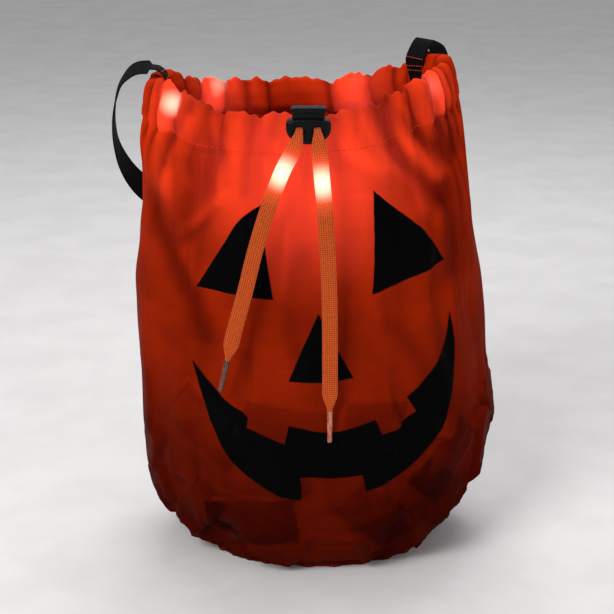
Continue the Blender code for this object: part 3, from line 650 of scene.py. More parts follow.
def hem_glow(angle):
    """How much of a light shows through the hem: its own gather is lit, and a little beside it."""
    total = 0.0
    for turn in HEM_LIGHT_ANGLES.values():
        light = math.radians(turn % 360)
        away = abs(turn_from(angle, light)) * MEAN_RADIUS
        share, reach = LIT_GATHER if gather_of(angle) == gather_of(light) else BESIDE_LIT_GATHER
        total += share * math.exp(-((away / reach) ** 2))
    return min(total, 1.0)


def wall_height(angle, row):
    """Height of a row of the wall: a round bottom corner, then even rows up to the hem."""
    foot = rim_height(angle) - HEM
    if row <= CORNER_ROWS:
        return BASE_CORNER_HEIGHT * (1 - math.cos(math.pi / 2 * row / CORNER_ROWS))
    share = (row - CORNER_ROWS) / WALL_ROWS
    return BASE_CORNER_HEIGHT + (foot - BASE_CORNER_HEIGHT) * share


def wall_start(chance):
    """The gathered wall before it is draped, rows by columns."""
    spare = {}
    for k in range(36):
        height = k * 10 * MM
        spare[k] = max(CLOTH_ROUND / round_length(height) - 1, 0)
    points = np.empty((CORNER_ROWS + WALL_ROWS + 1, COLUMNS, 3))
    for c in range(COLUMNS):
        angle = FULL * c / COLUMNS
        gather = gather_at_seam(angle)
        foot = rim_height(angle) - HEM
        for r in range(points.shape[0]):
            height = wall_height(angle, r)
            drop = foot - height
            near = math.exp(-((drop / GATHER_FADE) ** 1.4))
            pinch = SEAM_PINCH * math.exp(-((drop / (3 * MM)) ** 2))
            fold_depth = math.sqrt(spare[round(height / (10 * MM))]) / math.pi * 52 * MM
            gone = soft_step(height, 60 * MM, 130 * MM)
            offset = gather * near - pinch
            offset += hang_fold(angle, drop) * fold_depth * (1 - near) * gone
            puckers = math.sin(31 * angle + 2 * math.sin(3 * angle))
            pucker = math.exp(-height / (14 * MM)) * BASE_PUCKER * MM * puckers
            loose = 0 if r in (0, points.shape[0] - 1) else chance.uniform(-0.25, 0.25) * MM
            clear = CLEAR_OF_TREATS * soft_step(height, 3 * MM, 22 * MM)
            clear *= 1 - soft_step(height, 120 * MM, 170 * MM)
            out = sideways(angle, height)
            points[r, c] = outline(angle, height) + out * (offset + pucker + loose + clear)
    return points


def wall_rest(points):
    """The cloth's own size: a tube of one width, taken in towards the base seam."""
    rest = np.empty_like(points)
    rows = points.shape[0]
    for c in range(COLUMNS):
        angle = FULL * c / COLUMNS
        rise = 0.0
        last = None
        for r in range(rows):
            share = math.sin(math.pi / 2 * min(r / CORNER_ROWS, 1))
            radius = (BASE_ROUND + (CLOTH_ROUND - BASE_ROUND) * share) / FULL
            if last is not None:
                a = outline(angle, wall_height(angle, r - 1))
                b = outline(angle, wall_height(angle, r))
                step = (b - a).length * ROW_SLACK
                rise += math.sqrt(max(step ** 2 - (radius - last) ** 2, 1e-9))
            last = radius
            rest[r, c] = (radius * math.cos(angle), radius * math.sin(angle), rise)
    return rest


# ---- what fills the sack while it is draped

def surface_frame(angle, height, inset):
    """A place on the sack, with its axes: along, up the wall and out."""
    step = 3 * MM
    here = outline(angle, height, inset)
    low, high = max(height - step, 0), height + step
    up = (outline(angle, high) - outline(angle, low)).normalized()
    along = (outline(angle + 0.02, height) - outline(angle - 0.02, height)).normalized()
    out = along.cross(up).normalized()
    return here, Matrix((along, up, out)).transposed().to_4x4()


def treat_boxes(chance):
    """Boxes of treats that press on the cloth: (centre, turn, size)."""
    boxes = []
    for height, count in TREAT_LAYERS:
        for k in range(count):
            angle = FULL * (k + 0.5 * (height % 3) + chance.uniform(-0.25, 0.25)) / count
            size = Vector((chance.uniform(36, 56), chance.uniform(24, 36), 16)) * MM
            level = (height + chance.uniform(-8, 8)) * MM
            depth = size.z / 2 + chance.uniform(1.0, 4.0) * MM
            here, axes = surface_frame(angle, level, depth)
            roll = Matrix.Rotation(chance.uniform(0, math.pi), 4, "Z")
            tip = Matrix.Rotation(chance.uniform(-0.16, 0.16), 4, "X")
            lean = Matrix.Rotation(chance.uniform(-0.16, 0.16), 4, "Y")
            boxes.append((here, axes @ roll @ tip @ lean, size))
    return boxes


def soft_steps(values, low, high):
    """soft_step for a whole array."""
    share = np.clip((values - low) / (high - low), 0, 1)
    return share * share * (3 - 2 * share)


def treat_shade(points, boxes, tones):
    """Painted shade: the treats' straight-edged shadows on the cloth that lies over them, and a painted
    darker lower right of the sack.
    """
    total = np.zeros(points.shape[:2], np.float32)
    for (centre, turn, size), tone in zip(boxes, tones):
        axes = np.array(turn.to_3x3())
        local = (points - np.array(centre)) @ axes
        over = np.ones(total.shape)
        for k in range(2):
            half = SHADOW_SIZE * size[k]
            over *= 1 - soft_steps(np.abs(local[..., k]), half - SHADOW_EDGE, half + SHADOW_EDGE)
        over *= 1 - soft_steps(np.abs(local[..., 2]), 16 * MM, 20 * MM)
        total += SHADOW_TONE * tone * over
    # Painted shade: the lower right of the sack is painted darker.
    low = 1 - soft_steps(points[..., 2], 30 * MM, 110 * MM)
    dim = 0.35 * low * soft_steps(points[..., 0], 20 * MM, 90 * MM)
    fade = 1 - soft_steps(points[..., 2], 140 * MM, 182 * MM)
    return (np.minimum(total, 1.1) * fade + dim).astype(np.float32)


def lock_shade(points):
    """Painted shade on the bunched cloth behind and under the cord lock."""
    under, reach = LOCK.z - 16 * MM, 27 * MM
    away = np.hypot(points[..., 0] - LOCK.x, points[..., 2] - under)
    shade = 0.6 * np.exp(-((away / reach) ** 2))
    return np.where(points[..., 1] < 0, shade, 0).astype(np.float32)


def box_tree(boxes):
    """The boxes' faces, for casting rays at them."""
    bm = bmesh.new()
    for centre, turn, size in boxes:
        place = Matrix.Translation(centre) @ turn @ Matrix.Diagonal((*size, 1))
        bmesh.ops.create_cube(bm, size=1, matrix=place)
    tree = BVHTree.FromBMesh(bm)
    bm.free()
    return tree


def fill_mesh(boxes):
    """The outside of the treats, and the air above them, as one skin for the cloth to rest on."""
    columns = 200
    corner = [1 - math.cos(math.pi / 2 * k / 16) for k in range(17)]
    heights = [BASE_CORNER_HEIGHT * rise + 1.5 * MM for rise in corner]
    heights += [(67 + 4 * k) * MM for k in range(28)] + [(184 + 10 * k) * MM for k in range(12)]
    outside = 30
    points = np.empty((len(heights), columns, 3))
    for r, height in enumerate(heights):
        inset = (8 + 2 * soft_step(height, 130 * MM, 220 * MM)) * MM
        for c in range(columns):
            angle = FULL * c / columns
            here, axes = surface_frame(angle, height, 0)
            out = axes.to_3x3() @ UP
            hit = boxes.ray_cast(here + out * outside * MM, -out, outside * MM + inset)[0]
            points[r, c] = here - out * inset if hit is None else hit
    return round_mesh("fill", points)


def drape(points, rest, fill):
    """Hangs the wall from its hem over what fills it, and returns the draped points."""
    rows, columns = points.shape[:2]
    cloth = link(bpy.data.objects.new("drape", round_mesh("drape", points)))
    cloth.shape_key_add(name="Basis")
    key = cloth.shape_key_add(name="rest")
    key.data.foreach_set("co", rest.ravel())
    sewn = cloth.vertex_groups.new(name="sewn")
    sewn.add(list(range(columns)) + list(range((rows - 1) * columns, rows * columns)), 1.0, "ADD")

    body = link(bpy.data.objects.new("fill", fill))
    body.modifiers.new("touch", "COLLISION")
    body.collision.thickness_outer = 0.8 * MM
    body.collision.cloth_friction = 6

    change = cloth.modifiers.new("drape", "CLOTH")
    settings = change.settings
    for setting, value in THIN_POLYESTER.items():
        setattr(settings, setting, value)
    settings.vertex_group_mass = "sewn"
    settings.rest_shape_key = key
    change.collision_settings.collision_quality = 3
    change.collision_settings.distance_min = 1.0 * MM
    change.point_cache.frame_end = DRAPE_FRAMES
    for number in range(1, DRAPE_FRAMES + 1):
        bpy.context.scene.frame_set(number)
    draped = cloth.evaluated_get(bpy.context.evaluated_depsgraph_get()).data
    result = np.empty(rows * columns * 3, np.float32)
    draped.vertices.foreach_get("co", result)
    bpy.data.objects.remove(cloth)
    bpy.data.objects.remove(body)
    bpy.context.scene.frame_set(1)
    return result.astype(float).reshape(rows, columns, 3)


def outward(points):
    """The level direction out of the sack at each column of the wall."""
    columns = points.shape[1]
    return np.array([sideways(FULL * c / columns, STRAIGHT_HEIGHT) for c in range(columns)])


def press_out(points):
    """Where the treats push the wall out: the right foot and the middle of the left side."""
    out = outward(points)
    degrees = np.arange(len(out)) * 360 / len(out)
    for turn, height, reach, rise, push in PUSHED_OUT:
        away = (degrees - turn + 180) % 360 - 180
        level = (points[:-1, :, 2] - height * MM) / (rise * MM)
        amount = push * MM * np.exp(-((away / reach) ** 2) - level ** 2)
        points[:-1] += out * amount[..., None]
    return points


def clear_case(points):
    """Holds the back wall out of the battery case that hangs on it."""
    turn = np.array(battery_axes())
    local = (points - turn[:3, 3]) @ turn[:3, :3]
    beside = 1 - soft_steps(np.abs(local[..., 0]), 21 * MM, 30 * MM)
    beside *= 1 - soft_steps(np.abs(local[..., 2]), 28 * MM, 40 * MM)
    at_back = np.abs(local[..., 1]) < 20 * MM
    gap = 0.8 * MM
    short = np.maximum(-gap - local[..., 1], 0)
    local[..., 1] += np.where(at_back, beside * short, 0)
    return local @ turn[:3, :3].T + turn[:3, 3]


def press_folds(points, depth):
    """Moves the wall in where a fold is hollow and out where it is a ridge."""
    points[CORNER_ROWS:-1] -= outward(points) * depth[CORNER_ROWS:-1, :, None]
    return points


def add_swags(points):
    rows, columns = points.shape[:2]
    for c, out in enumerate(outward(points)):
        angle = FULL * c / columns
        foot = rim_height(angle) - HEM
        for r in range(CORNER_ROWS, rows - 1):
            points[r, c] += out * swag(angle, foot - points[r, c, 2])
    return points


def refine(points):
    """Doubles a grid that closes round, along smooth curves through its points."""
    before, after = np.roll(points, 1, 1), np.roll(points, -1, 1)
    middle = (9 * (points + after) - before - np.roll(points, -2, 1)) / 16
    wide = np.empty((points.shape[0], points.shape[1] * 2, 3))
    wide[:, 0::2], wide[:, 1::2] = points, middle
    ends = np.concatenate([2 * wide[:1] - wide[1:2], wide, 2 * wide[-1:] - wide[-2:-1]])
    between = (9 * (ends[1:-2] + ends[2:-1]) - ends[:-3] - ends[3:]) / 16
    tall = np.empty((wide.shape[0] * 2 - 1, wide.shape[1], 3))
    tall[0::2], tall[1::2] = wide, between
    return tall


def ease(points, rounds):
    """Takes the smallest crinkles out of the draped wall, away from its sewn edges."""
    for _ in range(rounds):
        near = (
            np.roll(points, 1, 1)[1:-1]
            + np.roll(points, -1, 1)[1:-1]
            + points[2:]
            + points[:-2]
        ) / 4
        points[1:-1] = points[1:-1] * 0.5 + near * 0.5
    return points


# ---- the hem

OUTER_ROWS = 9
FOLD_ROWS = 6
INNER_ROWS = 8


def peak_at(angle, turn, width, height):
    """A rise of the rim round one place."""
    return height * math.exp(-((turn_from(angle, math.radians(turn)) / width) ** 2))


def hem_point(angle, row):
    """A point of the folded hem: up the outside, over the top and down the inside."""
    depth = pleat_depth(angle)
    scallop = depth * 0.55 * pleat(angle + 0.02) + 1.4 * MM * math.sin(7 * angle + 1)
    scallop += 1.5 * MM * crinkle(angle, 3)
    rim = rim_height(angle) + scallop + peak_at(angle, 26, 0.15, 8 * MM) - 1.5 * MM
    rim += peak_at(angle, 212, 0.30, 5 * MM) + peak_at(angle, -28, 0.25, 3 * MM)
    foot = rim_height(angle) - HEM
    fold = HEM_THICKNESS * 0.30
    leg = rim - fold - foot
    calm = calm_at_lock(angle, foot)
    gather = gather_at_seam(angle)
    lean = 0.035 * math.sin(3 * angle + 0.5)
    if row <= OUTER_ROWS:
        share = row / OUTER_ROWS
        height = foot + leg * share
        puff = 2.2 * MM * math.sin(math.pi * share) ** 0.7 - SEAM_PINCH * (1 - share) ** 4
        slid = depth * pleat(angle + lean * share) * calm
        offset = gather + (slid - gather) * share
        offset = offset * (1 - 0.25 * math.sin(math.pi * share)) + puff
        offset += 1.1 * MM * crinkle(angle, 3 * share) * math.sin(math.pi * (0.1 + 0.8 * share))
        return outline(angle, height) + sideways(angle, height) * offset
    top = depth * pleat(angle + lean) * calm
    if row <= OUTER_ROWS + FOLD_ROWS:
        turn = math.pi * (row - OUTER_ROWS) / FOLD_ROWS
        height = rim - fold + fold * math.sin(turn)
        inner_top = -2 * fold - 0.3 * (depth - top)
        offset = top + (inner_top - top) * (1 - math.cos(turn)) / 2
        return outline(angle, height) + sideways(angle, height) * offset
    share = (row - OUTER_ROWS - FOLD_ROWS) / INNER_ROWS
    height = rim - fold - leg * share
    inset = 2 * fold + 3.2 * MM * soft_step(share, 0, 0.3) + (0.3 + 0.5 * share) * (depth - top)
    sewn = 2.0 * MM + SEAM_PINCH - gather
    inset += (sewn - inset) * soft_step(share, 0.72, 1.0)
    return outline(angle, height) - sideways(angle, height) * inset


def add_hem(wall):
    """Puts the hem's rows on top of the draped wall, over its fine columns."""
    columns = wall.shape[1]
    count = OUTER_ROWS + FOLD_ROWS + INNER_ROWS
    hem = np.array([
        [hem_point(FULL * c / columns, r) for c in range(columns)] for r in range(count + 1)
    ])
    gap = wall[-1] - hem[0]
    for r in range(count + 1):
        hem[r] += gap * max(0, 1 - r / 4)
    return np.concatenate([wall, hem[1:]])


# ---- the printed face

# Outlines on the front of the sack, x and height in mm, as smooth strokes from corner to corner.
# Each stroke starts where the one before it ended, and the first one where the last one ends.
FACE = {
    "left_eye": [
        [(-41, 277), (-49, 268), (-57, 254), (-77, 222)], [(-22, 217)], [(-27, 251), (-30, 284)],
    ],
    "right_eye": [
        [(63, 280), (81, 266), (90, 255), (100, 238)], [(48, 221)], [(49, 244), (48, 294)],
    ],
    "nose": [
        [(-11, 159)], [(12, 158), (35, 161)], [(10, 207)],
    ],
    "mouth": [
        [(-68, 153), (-55, 140), (-40, 132)], [(-41, 124)], [(-14, 113)], [(-11, 127)],
        [(20, 122), (51, 130)], [(56, 119)], [(81, 131)], [(74, 143)],
        [(91, 157), (102, 177), (105, 200)],
        [(110, 174), (109, 148), (105, 129), (96, 108), (81, 92), (66, 81), (45, 74)], [(42, 88)],
        [(18, 86), (-3, 87)], [(-3, 67)],
        [(-20, 72), (-36, 81), (-50, 93), (-61, 110), (-74, 144), (-81, 167)],
    ],
}


def stroke_points(strokes):
    """The points of a closed outline."""
    points = []
    corner = strokes[-1][-1]
    for stroke in strokes:
        whole = [(x, z, 0) for x, z in (corner, *stroke)]
        path = smooth_path(whole, 2 if len(whole) == 2 else 5 * len(whole))
        points.extend((p.x, p.y) for p in path[:-1])
        corner = stroke[-1]
    return points


def inside(point, loop):
    """Whether a 2-D point lies inside a closed outline."""
    x, y = point
    found = False
    for (ax, ay), (bx, by) in zip(loop, loop[1:] + loop[:1]):
        if (ay > y) != (by > y) and x < (bx - ax) * (y - ay) / (by - ay) + ax:
            found = not found
    return found


def print_mesh(points):
    """The printed face, laid on the draped cloth; its edge steps are in cells of the cloth."""
    rows, columns = points.shape[:2]
    tree = BVHTree.FromPolygons(points.reshape(-1, 3).tolist(), grid_faces(rows, columns))
    up = np.gradient(points, axis=0)
    along = np.gradient(points, axis=1)
    out = np.cross(along, up)
    out /= np.linalg.norm(out, axis=2)[..., None]
    lifted = points + out * PRINT_LIFT

    def cell(x, z):
        """Column and row, with shares, of the cloth that faces the viewer at x and z."""
        hit, _, index, _ = tree.ray_cast(Vector((x * MM, -1, z * MM)), Vector((0, 1, 0)))
        row, column = divmod(index, columns - 1)
        corner = Vector(points[row, column])
        side = Vector(points[row, column + 1]) - corner
        rise = Vector(points[row + 1, column]) - corner
        rest = hit - corner
        return Vector((column + rest.dot(side) / side.length_squared,
                       row + rest.dot(rise) / rise.length_squared))

    verts, faces = [], []
    for strokes in FACE.values():
        corners = [cell(x, z) for x, z in stroke_points(strokes)]
        edge = []
        for a, b in zip(corners, corners[1:] + corners[:1]):
            steps = max(1, round((b - a).length / EDGE_STEP))
            edge.extend(a.lerp(b, k / steps) for k in range(steps))
        low = [min(p[i] for p in edge) for i in (0, 1)]
        high = [max(p[i] for p in edge) for i in (0, 1)]
        flat = [tuple(p) for p in edge]
        near = {(round(p[0]), round(p[1])) for p in flat}
        spots = list(edge)
        for c in range(math.ceil(low[0]), math.floor(high[0]) + 1):
            for r in range(math.ceil(low[1]), math.floor(high[1]) + 1):
                if (c, r) not in near and inside((c, r), flat):
                    spots.append(Vector((c, r)))
        made, _, triangles, _, _, _ = delaunay_2d_cdt(spots, [], [list(range(len(edge)))], 1, 1e-5)
        start = len(verts)
        for place in made:
            c, r = min(int(place[0]), columns - 2), min(int(place[1]), rows - 2)
            u, v = place[0] - c, place[1] - r
            point = (
                lifted[r, c] * (1 - u) * (1 - v) + lifted[r, c + 1] * u * (1 - v)
                + lifted[r + 1, c] * (1 - u) * v + lifted[r + 1, c + 1] * u * v
            )
            verts.append(tuple(point))
        faces.extend(tuple(start + k for k in f) for f in triangles)
    mesh = bpy.data.meshes.new("face_print")
    mesh.from_pydata(verts, [], faces)
    with_uv(mesh, [(x, z) for x, _, z in verts])
    return mesh


# ---- camera, light and floor

def add_camera():
    data = bpy.data.cameras.new("camera")
    data.lens = 98.8
    data.sensor_width = 36
    camera = link(bpy.data.objects.new("camera", data))
    camera.location = (0.002, -1.230, 0.568)
    camera.rotation_euler = (math.radians(72.6), 0, 0)
    bpy.context.scene.camera = camera


def add_light(name, place, size, power, colour=(1, 1, 1)):
    data = bpy.data.lights.new(name, "AREA")
    data.energy = power
    data.size = size
    data.color = colour
    light = link(bpy.data.objects.new(name, data))
    light.location = place
    toward = Vector((0, 0, 0.18)) - Vector(place)
    light.rotation_euler = toward.to_track_quat("-Z", "Y").to_euler()


def add_studio():
    bpy.context.scene.view_settings.view_transform = "Standard"
    add_light("key", (-0.85, -1.35, 1.25), 0.8, 26)
    add_light("fill", (1.2, -1.4, 0.7), 1.4, 6)
    add_light("top", (0.1, 0.7, 1.6), 1.2, 14)
    world = bpy.data.worlds.new("studio")
    bpy.context.scene.world = world
    world.use_nodes = True
    world.node_tree.nodes["Background"].inputs[0].default_value = (0.9, 0.9, 0.92, 1)
    world.node_tree.nodes["Background"].inputs[1].default_value = 0.42
    wiring = Wiring("floor", (0.78, 0.77, 0.76), 0.6)
    speck = wiring.noise(wiring.place, 14.0)
    tone = wiring.ramp(speck, 0.35, 0.65, 0.97, 1.03)
    wiring.tint((0.78, 0.77, 0.76), tone)
    span = np.array([[(x, y, 0) for x in (-8, 8)] for y in (-8, 8)], float)
    floor = finish_mesh("floor", grid_mesh("floor", span, span[..., :2]), wiring.material)


# ---- materials

def tail_light_spots():
    """Where the last light of each string shows in its lace tail."""
    spots = []
    for side, route in (("left", LEFT_TAIL), ("right", RIGHT_TAIL)):
        path = smooth_path(in_mm(route), 100)
        run = path_run(path)
        spots.append(path[next(i for i in range(100) if run[i] > TAIL_LIGHT_REACH[side])])
    return spots


def cloth_glows():
    """The glow of each light through the cloth: narrow in the hem, wide behind the tails."""
    glows = []
    for name, turn in HEM_LIGHT_ANGLES.items():
        spot = tunnel_point(math.radians(turn), LACE_DROP - 1.7 * MM, -3 * MM) + UP * 4 * MM
        glows.append((spot, 12 * MM, 24 * MM, HEM_LIGHT_CORES[name], 0.30))
    return glows + [(p, 12 * MM, 105 * MM, 0.05, 0.42) for p in tail_light_spots()]


def cloth_material(name):
    """Thin woven polyester with a soft shine, lit from within."""
    orange = (0.44, 0.0215, 0.0018)
    # deep is the painted shade colour that the shade attribute mixes in.
    deep = (0.12, 0.0042, 0.0006)
    wiring = Wiring(name, orange, 0.5, {"Specular IOR Level": 0.01})
    height = wiring.split(wiring.place)[2]
    slub = wiring.stretched_noise(wiring.uv, (30, 900, 1), 2.0)
    cloudy = wiring.noise(wiring.place, 26.0, 2.0)
    # Painted shade and light by height: the first ramp paints the cloth darker towards the bottom, and
    # the second (clear) paints it lighter near the lights at the top.
    painted_shade_by_height = wiring.ramp(height, 30 * MM, 260 * MM, 0.17, 0.62)
    clear = wiring.ramp(height, 250 * MM, 312 * MM, 0.0, 0.55)
    tone = wiring.math("ADD", painted_shade_by_height, clear)
    tone = wiring.vary(wiring.vary(tone, cloudy, 0.82, 1.12), slub, 0.95, 1.04)
    shade = wiring.node("ShaderNodeAttribute", attribute_name="shade").outputs["Fac"]
    colour = wiring.mix(shade, orange, deep)
    wiring.tint(colour, tone)
    wiring.set("Roughness", wiring.spread(slub, 0.52, 0.66))
    rumple = wiring.stretched_noise(wiring.uv, (60, 38, 1), 3.0, 0.5)
    wiring.set("Normal", wiring.bump(rumple, 1.0 * MM, 0.6, wiring.weave()))
    lit = wiring.node("ShaderNodeAttribute", attribute_name="lit").outputs["Fac"]
    uneven = wiring.math("MULTIPLY", lit, wiring.ramp(shade, 0.0, 1.0, 0.75, 0.40))
    glow(wiring, cloth_glows(), wiring.scale_colour(GLOW_HALO, uneven))
    return wiring.material


def print_material():
    """Black ink that has soaked into the weave."""
    black, thin_black = (0.0009, 0.0007, 0.0007), (0.008, 0.0015, 0.0008)
    wiring = Wiring("print_ink", black, 0.6, {"Specular IOR Level": 0.02})
    thin = wiring.noise(wiring.place, 900.0, 2.0)
    ink = wiring.ramp(thin, 0.62, 0.8, 0.0, 0.25)
    wiring.set("Base Color", wiring.mix(ink, black, thin_black))
    wiring.set("Normal", wiring.weave())
    wiring.set("Roughness", wiring.spread(thin, 0.55, 0.68))
    return wiring.material


def lace_material():
    """Flat knitted lace: fine columns of V stitches, with a light inside it."""
    orange = (0.62, 0.085, 0.008)
    fixed = {"Sheen Weight": 0.05, "Sheen Roughness": 0.5, "Specular IOR Level": 0.12}
    wiring = Wiring("knitted_lace", orange, 0.75, fixed)
    u, v = wiring.split(wiring.uv)[:2]
    column = wiring.math("MULTIPLY", wiring.wave(u, 1.6 * MM), 0.6)
    slant = wiring.math("ABSOLUTE", wiring.wave(u, 3.2 * MM))
    stitch = wiring.wave(wiring.math("MULTIPLY_ADD", slant, 0.8 * MM, v), 1.5 * MM)
    knit = wiring.math("MULTIPLY_ADD", stitch, 0.9, column)
    tone = wiring.ramp(knit, -1.4, 0.8, 0.34, 1.22)
    fuzz = wiring.stretched_noise(wiring.uv, (900, 260, 1))
    wiring.tint(orange, wiring.vary(tone, fuzz, 0.88, 1.06))
    wiring.set("Normal", wiring.bump(knit, 0.35 * MM, 0.9))
    wiring.set("Roughness", wiring.spread(fuzz, 0.68, 0.82))
    glow(wiring, [(p, 16 * MM, 29 * MM, 2.1, 0.9) for p in tail_light_spots()])
    return wiring.material


def webbing_material():
    """Black nylon webbing in a fine herringbone."""
    black = (0.0020, 0.0020, 0.0023)
    wiring = Wiring("woven_webbing", black, 0.7, {"Specular IOR Level": 0.07})
    u, v = wiring.split(wiring.uv)[:2]
    slant = wiring.math("ABSOLUTE", wiring.wave(u, 5 * MM))
    zigzag = wiring.wave(wiring.math("MULTIPLY_ADD", slant, 1.2 * MM, v), 1.5 * MM)
    bone = wiring.math("MULTIPLY_ADD", zigzag, 0.7, wiring.wave(v, 1.5 * MM))
    fibre = wiring.stretched_noise(wiring.uv, (260, 1400, 1))
    tone = wiring.ramp(bone, -1.5, 1.5, 0.6, 1.5)
    wiring.tint(black, wiring.vary(tone, fibre, 0.8, 1.2))
    wiring.set("Normal", wiring.bump(bone, 0.25 * MM, 0.8))
    wiring.set("Roughness", wiring.spread(fibre, 0.6, 0.8))
    return wiring.material


def grained(name, colour, roughness, noise, tones, rough=None, relief=None, fixed=None):
    """A plain finish whose tone, roughness and relief all follow one noise pattern."""
    wiring = Wiring(name, colour, roughness, fixed)
    scale, detail = noise
    if isinstance(scale, tuple):
        pattern = wiring.stretched_noise(wiring.place, scale, detail)
    else:
        pattern = wiring.noise(wiring.place, scale, detail)
    wiring.tint(colour, wiring.spread(pattern, *tones))
    if rough:
        wiring.set("Roughness", wiring.spread(pattern, *rough))
    if relief:
        wiring.set("Normal", wiring.bump(pattern, *relief))
    return wiring.material


def moulded_plastic(name, colour, roughness, grain=0.03 * MM):
    """Moulded plastic with a fine spark-eroded grain and slightly worn patches."""
    wiring = Wiring(name, colour, roughness, {"Specular IOR Level": 0.12})
    pores = wiring.noise(wiring.place, 2600.0, 2.0)
    flow = wiring.noise(wiring.place, 160.0, 3.0)
    worn = tuple(0.003 + 0.9 * c for c in colour)
    share = wiring.ramp(flow, 0.55, 0.8, 0.0, 0.35)
    wiring.set("Base Color", wiring.mix(share, colour, worn))
    wiring.set("Roughness", wiring.spread(flow, roughness - 0.06, roughness + 0.08))
    wiring.set("Normal", wiring.bump(pores, grain, 0.6))
    return wiring.material


def tip_material(name, lace_colour, film_colour):
    """The lace tip's thin clear film, with the lace showing through."""
    fixed = {"Coat Weight": 0.4, "Coat Roughness": 0.12, "IOR": 1.45}
    wiring = Wiring(name, lace_colour, 0.3, fixed)
    crimp = wiring.stretched_noise(wiring.place, (700, 700, 160), 2.0)
    share = wiring.ramp(crimp, 0.4, 0.65, 0.0, 0.7)
    wiring.set("Base Color", wiring.mix(share, lace_colour, film_colour))
    wiring.set("Roughness", wiring.spread(crimp, 0.2, 0.4))
    wiring.set("Normal", wiring.bump(crimp, 0.2 * MM, 0.7))
    return wiring.material


def steel_material(name, colour, roughness):
    """Brushed or drawn metal."""
    rough = (roughness - 0.08, roughness + 0.12)
    brushed = ((300, 300, 3000), 3.0)
    relief = (0.02 * MM, 0.4)
    return grained(name, colour, roughness, brushed, (0.85, 1.05), rough, relief, {"Metallic": 1.0})


def led_material():
    """A lit chip behind clear resin."""
    wiring = Wiring("lit_resin", (0.95, 0.55, 0.50), 0.15, {"Coat Weight": 0.5})
    cloudy = wiring.noise(wiring.place, 900.0, 2.0)
    bright = wiring.spread(cloudy, 0.8, 1.2)
    wiring.set("Emission Color", wiring.scale_colour((1.0, 0.45, 0.38), bright))
    wiring.set("Emission Strength", 5.0)
    return wiring.material


def wire_material(name, colour):
    """Thin plastic insulation."""
    return grained(name, colour, 0.4, (400.0, 2.0), (0.8, 1.1), (0.32, 0.5))


def board_material():
    """Green solder mask with copper tracks under it."""
    green = (0.015, 0.16, 0.05)
    wiring = Wiring("solder_mask", green, 0.35, {"Coat Weight": 0.4})
    x, _, z = wiring.split(wiring.place)[:3]
    tracks = wiring.math("MULTIPLY", wiring.wave(x, 2.2 * MM), wiring.wave(z, 3.1 * MM))
    share = wiring.ramp(tracks, 0.1, 0.2, 0.0, 0.6)
    wiring.set("Base Color", wiring.mix(share, green, (0.05, 0.30, 0.10)))
    wiring.set("Normal", wiring.bump(share, 0.05 * MM, 0.6))
    return wiring.material


def thread_material(name, colour):
    """Twisted sewing thread."""
    relief = (0.08 * MM, 0.7)
    fixed = {"Specular IOR Level": 0.1}
    return grained(name, colour, 0.7, (2500.0, 2.0), (0.75, 1.15), None, relief, fixed)


# ---- cords

def lace_ring(centre, across, through, width, thickness, sides=52):
    """A flat oval ring with the shallow ribs of knitted columns."""
    ring = []
    for k in range(sides):
        a = FULL * (k + 0.5) / sides
        x = rounded(math.cos(a), 0.55) * width / 2
        y = rounded(math.sin(a), 0.75) * thickness / 2
        rib = 1 + 0.10 * math.cos(FULL * x / width * 6)
        ring.append(centre + across * x + through * (y * rib))
    return ring


def lace_mesh(name, path, across_at, size_at):
    rings = []
    run = path_run(path)
    for i, point in enumerate(path):
        along = direction(path, i)
        across = across_at(i)
        across = (across - along * across.dot(along)).normalized()
        width, thickness = size_at(run[i], run[-1])
        rings.append(lace_ring(point, across, along.cross(across), width, thickness))
    return tube_mesh(name, rings, run)


def tail_size(done, whole):
    """Pinched in the lock's hole, full width below it, and drawn together at the tip."""
    leaving = soft_step(done, 9 * MM, 26 * MM)
    ending = soft_step(done, whole - 14 * MM, whole)
    width = LACE_HOLE_WIDTH + (LACE_WIDTH - LACE_HOLE_WIDTH) * leaving
    width += (3.6 * MM - LACE_WIDTH) * ending
    thickness = 3.0 * MM - 0.6 * MM * leaving + 0.5 * MM * ending
    swell = 1.3 * MM * math.exp(-((done - 44 * MM) / (6 * MM)) ** 2)
    return width, thickness + swell


def aglet_mesh(name, start, along):
    """A crimped tube with a softened tip."""
    across = along.orthogonal().normalized()
    through = along.cross(across)
    stations = [
        (0.0, 1.75), (0.02, 2.0), (0.10, 2.02), (0.13, 1.86), (0.16, 2.0), (0.30, 1.98),
        (0.33, 1.84), (0.36, 1.96), (0.80, 1.80), (0.95, 1.74), (0.985, 1.5), (1.0, 1.0),
    ]
    rings, run = [], []
    for share, radius in stations:
        centre = start + along * AGLET_LENGTH * share
        ring = []
        for k in range(24):
            a = FULL * k / 24
            seam = 1 - 0.07 * math.exp(-((a - 2.2) / 0.2) ** 2)
            ring.append(centre + (across * math.cos(a) + through * math.sin(a)) * radius * seam * MM)
        rings.append(ring)
        run.append(AGLET_LENGTH * share)
    return tube_mesh(name, rings, run)


def add_tail(side, route, lace, film):
    """One loose end of the drawstring with its tip."""
    path = smooth_path(in_mm(route), 170)
    mesh = lace_mesh("tail_" + side, path, lambda i: Vector((1, 0, 0)), tail_size)
    tail = finish_mesh("lace_tail_cord_" + side, mesh, lace)
    along = direction(path, len(path) - 1)
    tip_mesh = aglet_mesh("tip_" + side, path[-1] - along * 1.0 * MM, along)
    tip = finish_mesh("lace_tip_" + side, tip_mesh, film, 50)
    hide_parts("lace_tail_" + side, "tail_wire_" + side)
    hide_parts("aglet_" + side)
    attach(tail, "lock")
    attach(tip, "lock")


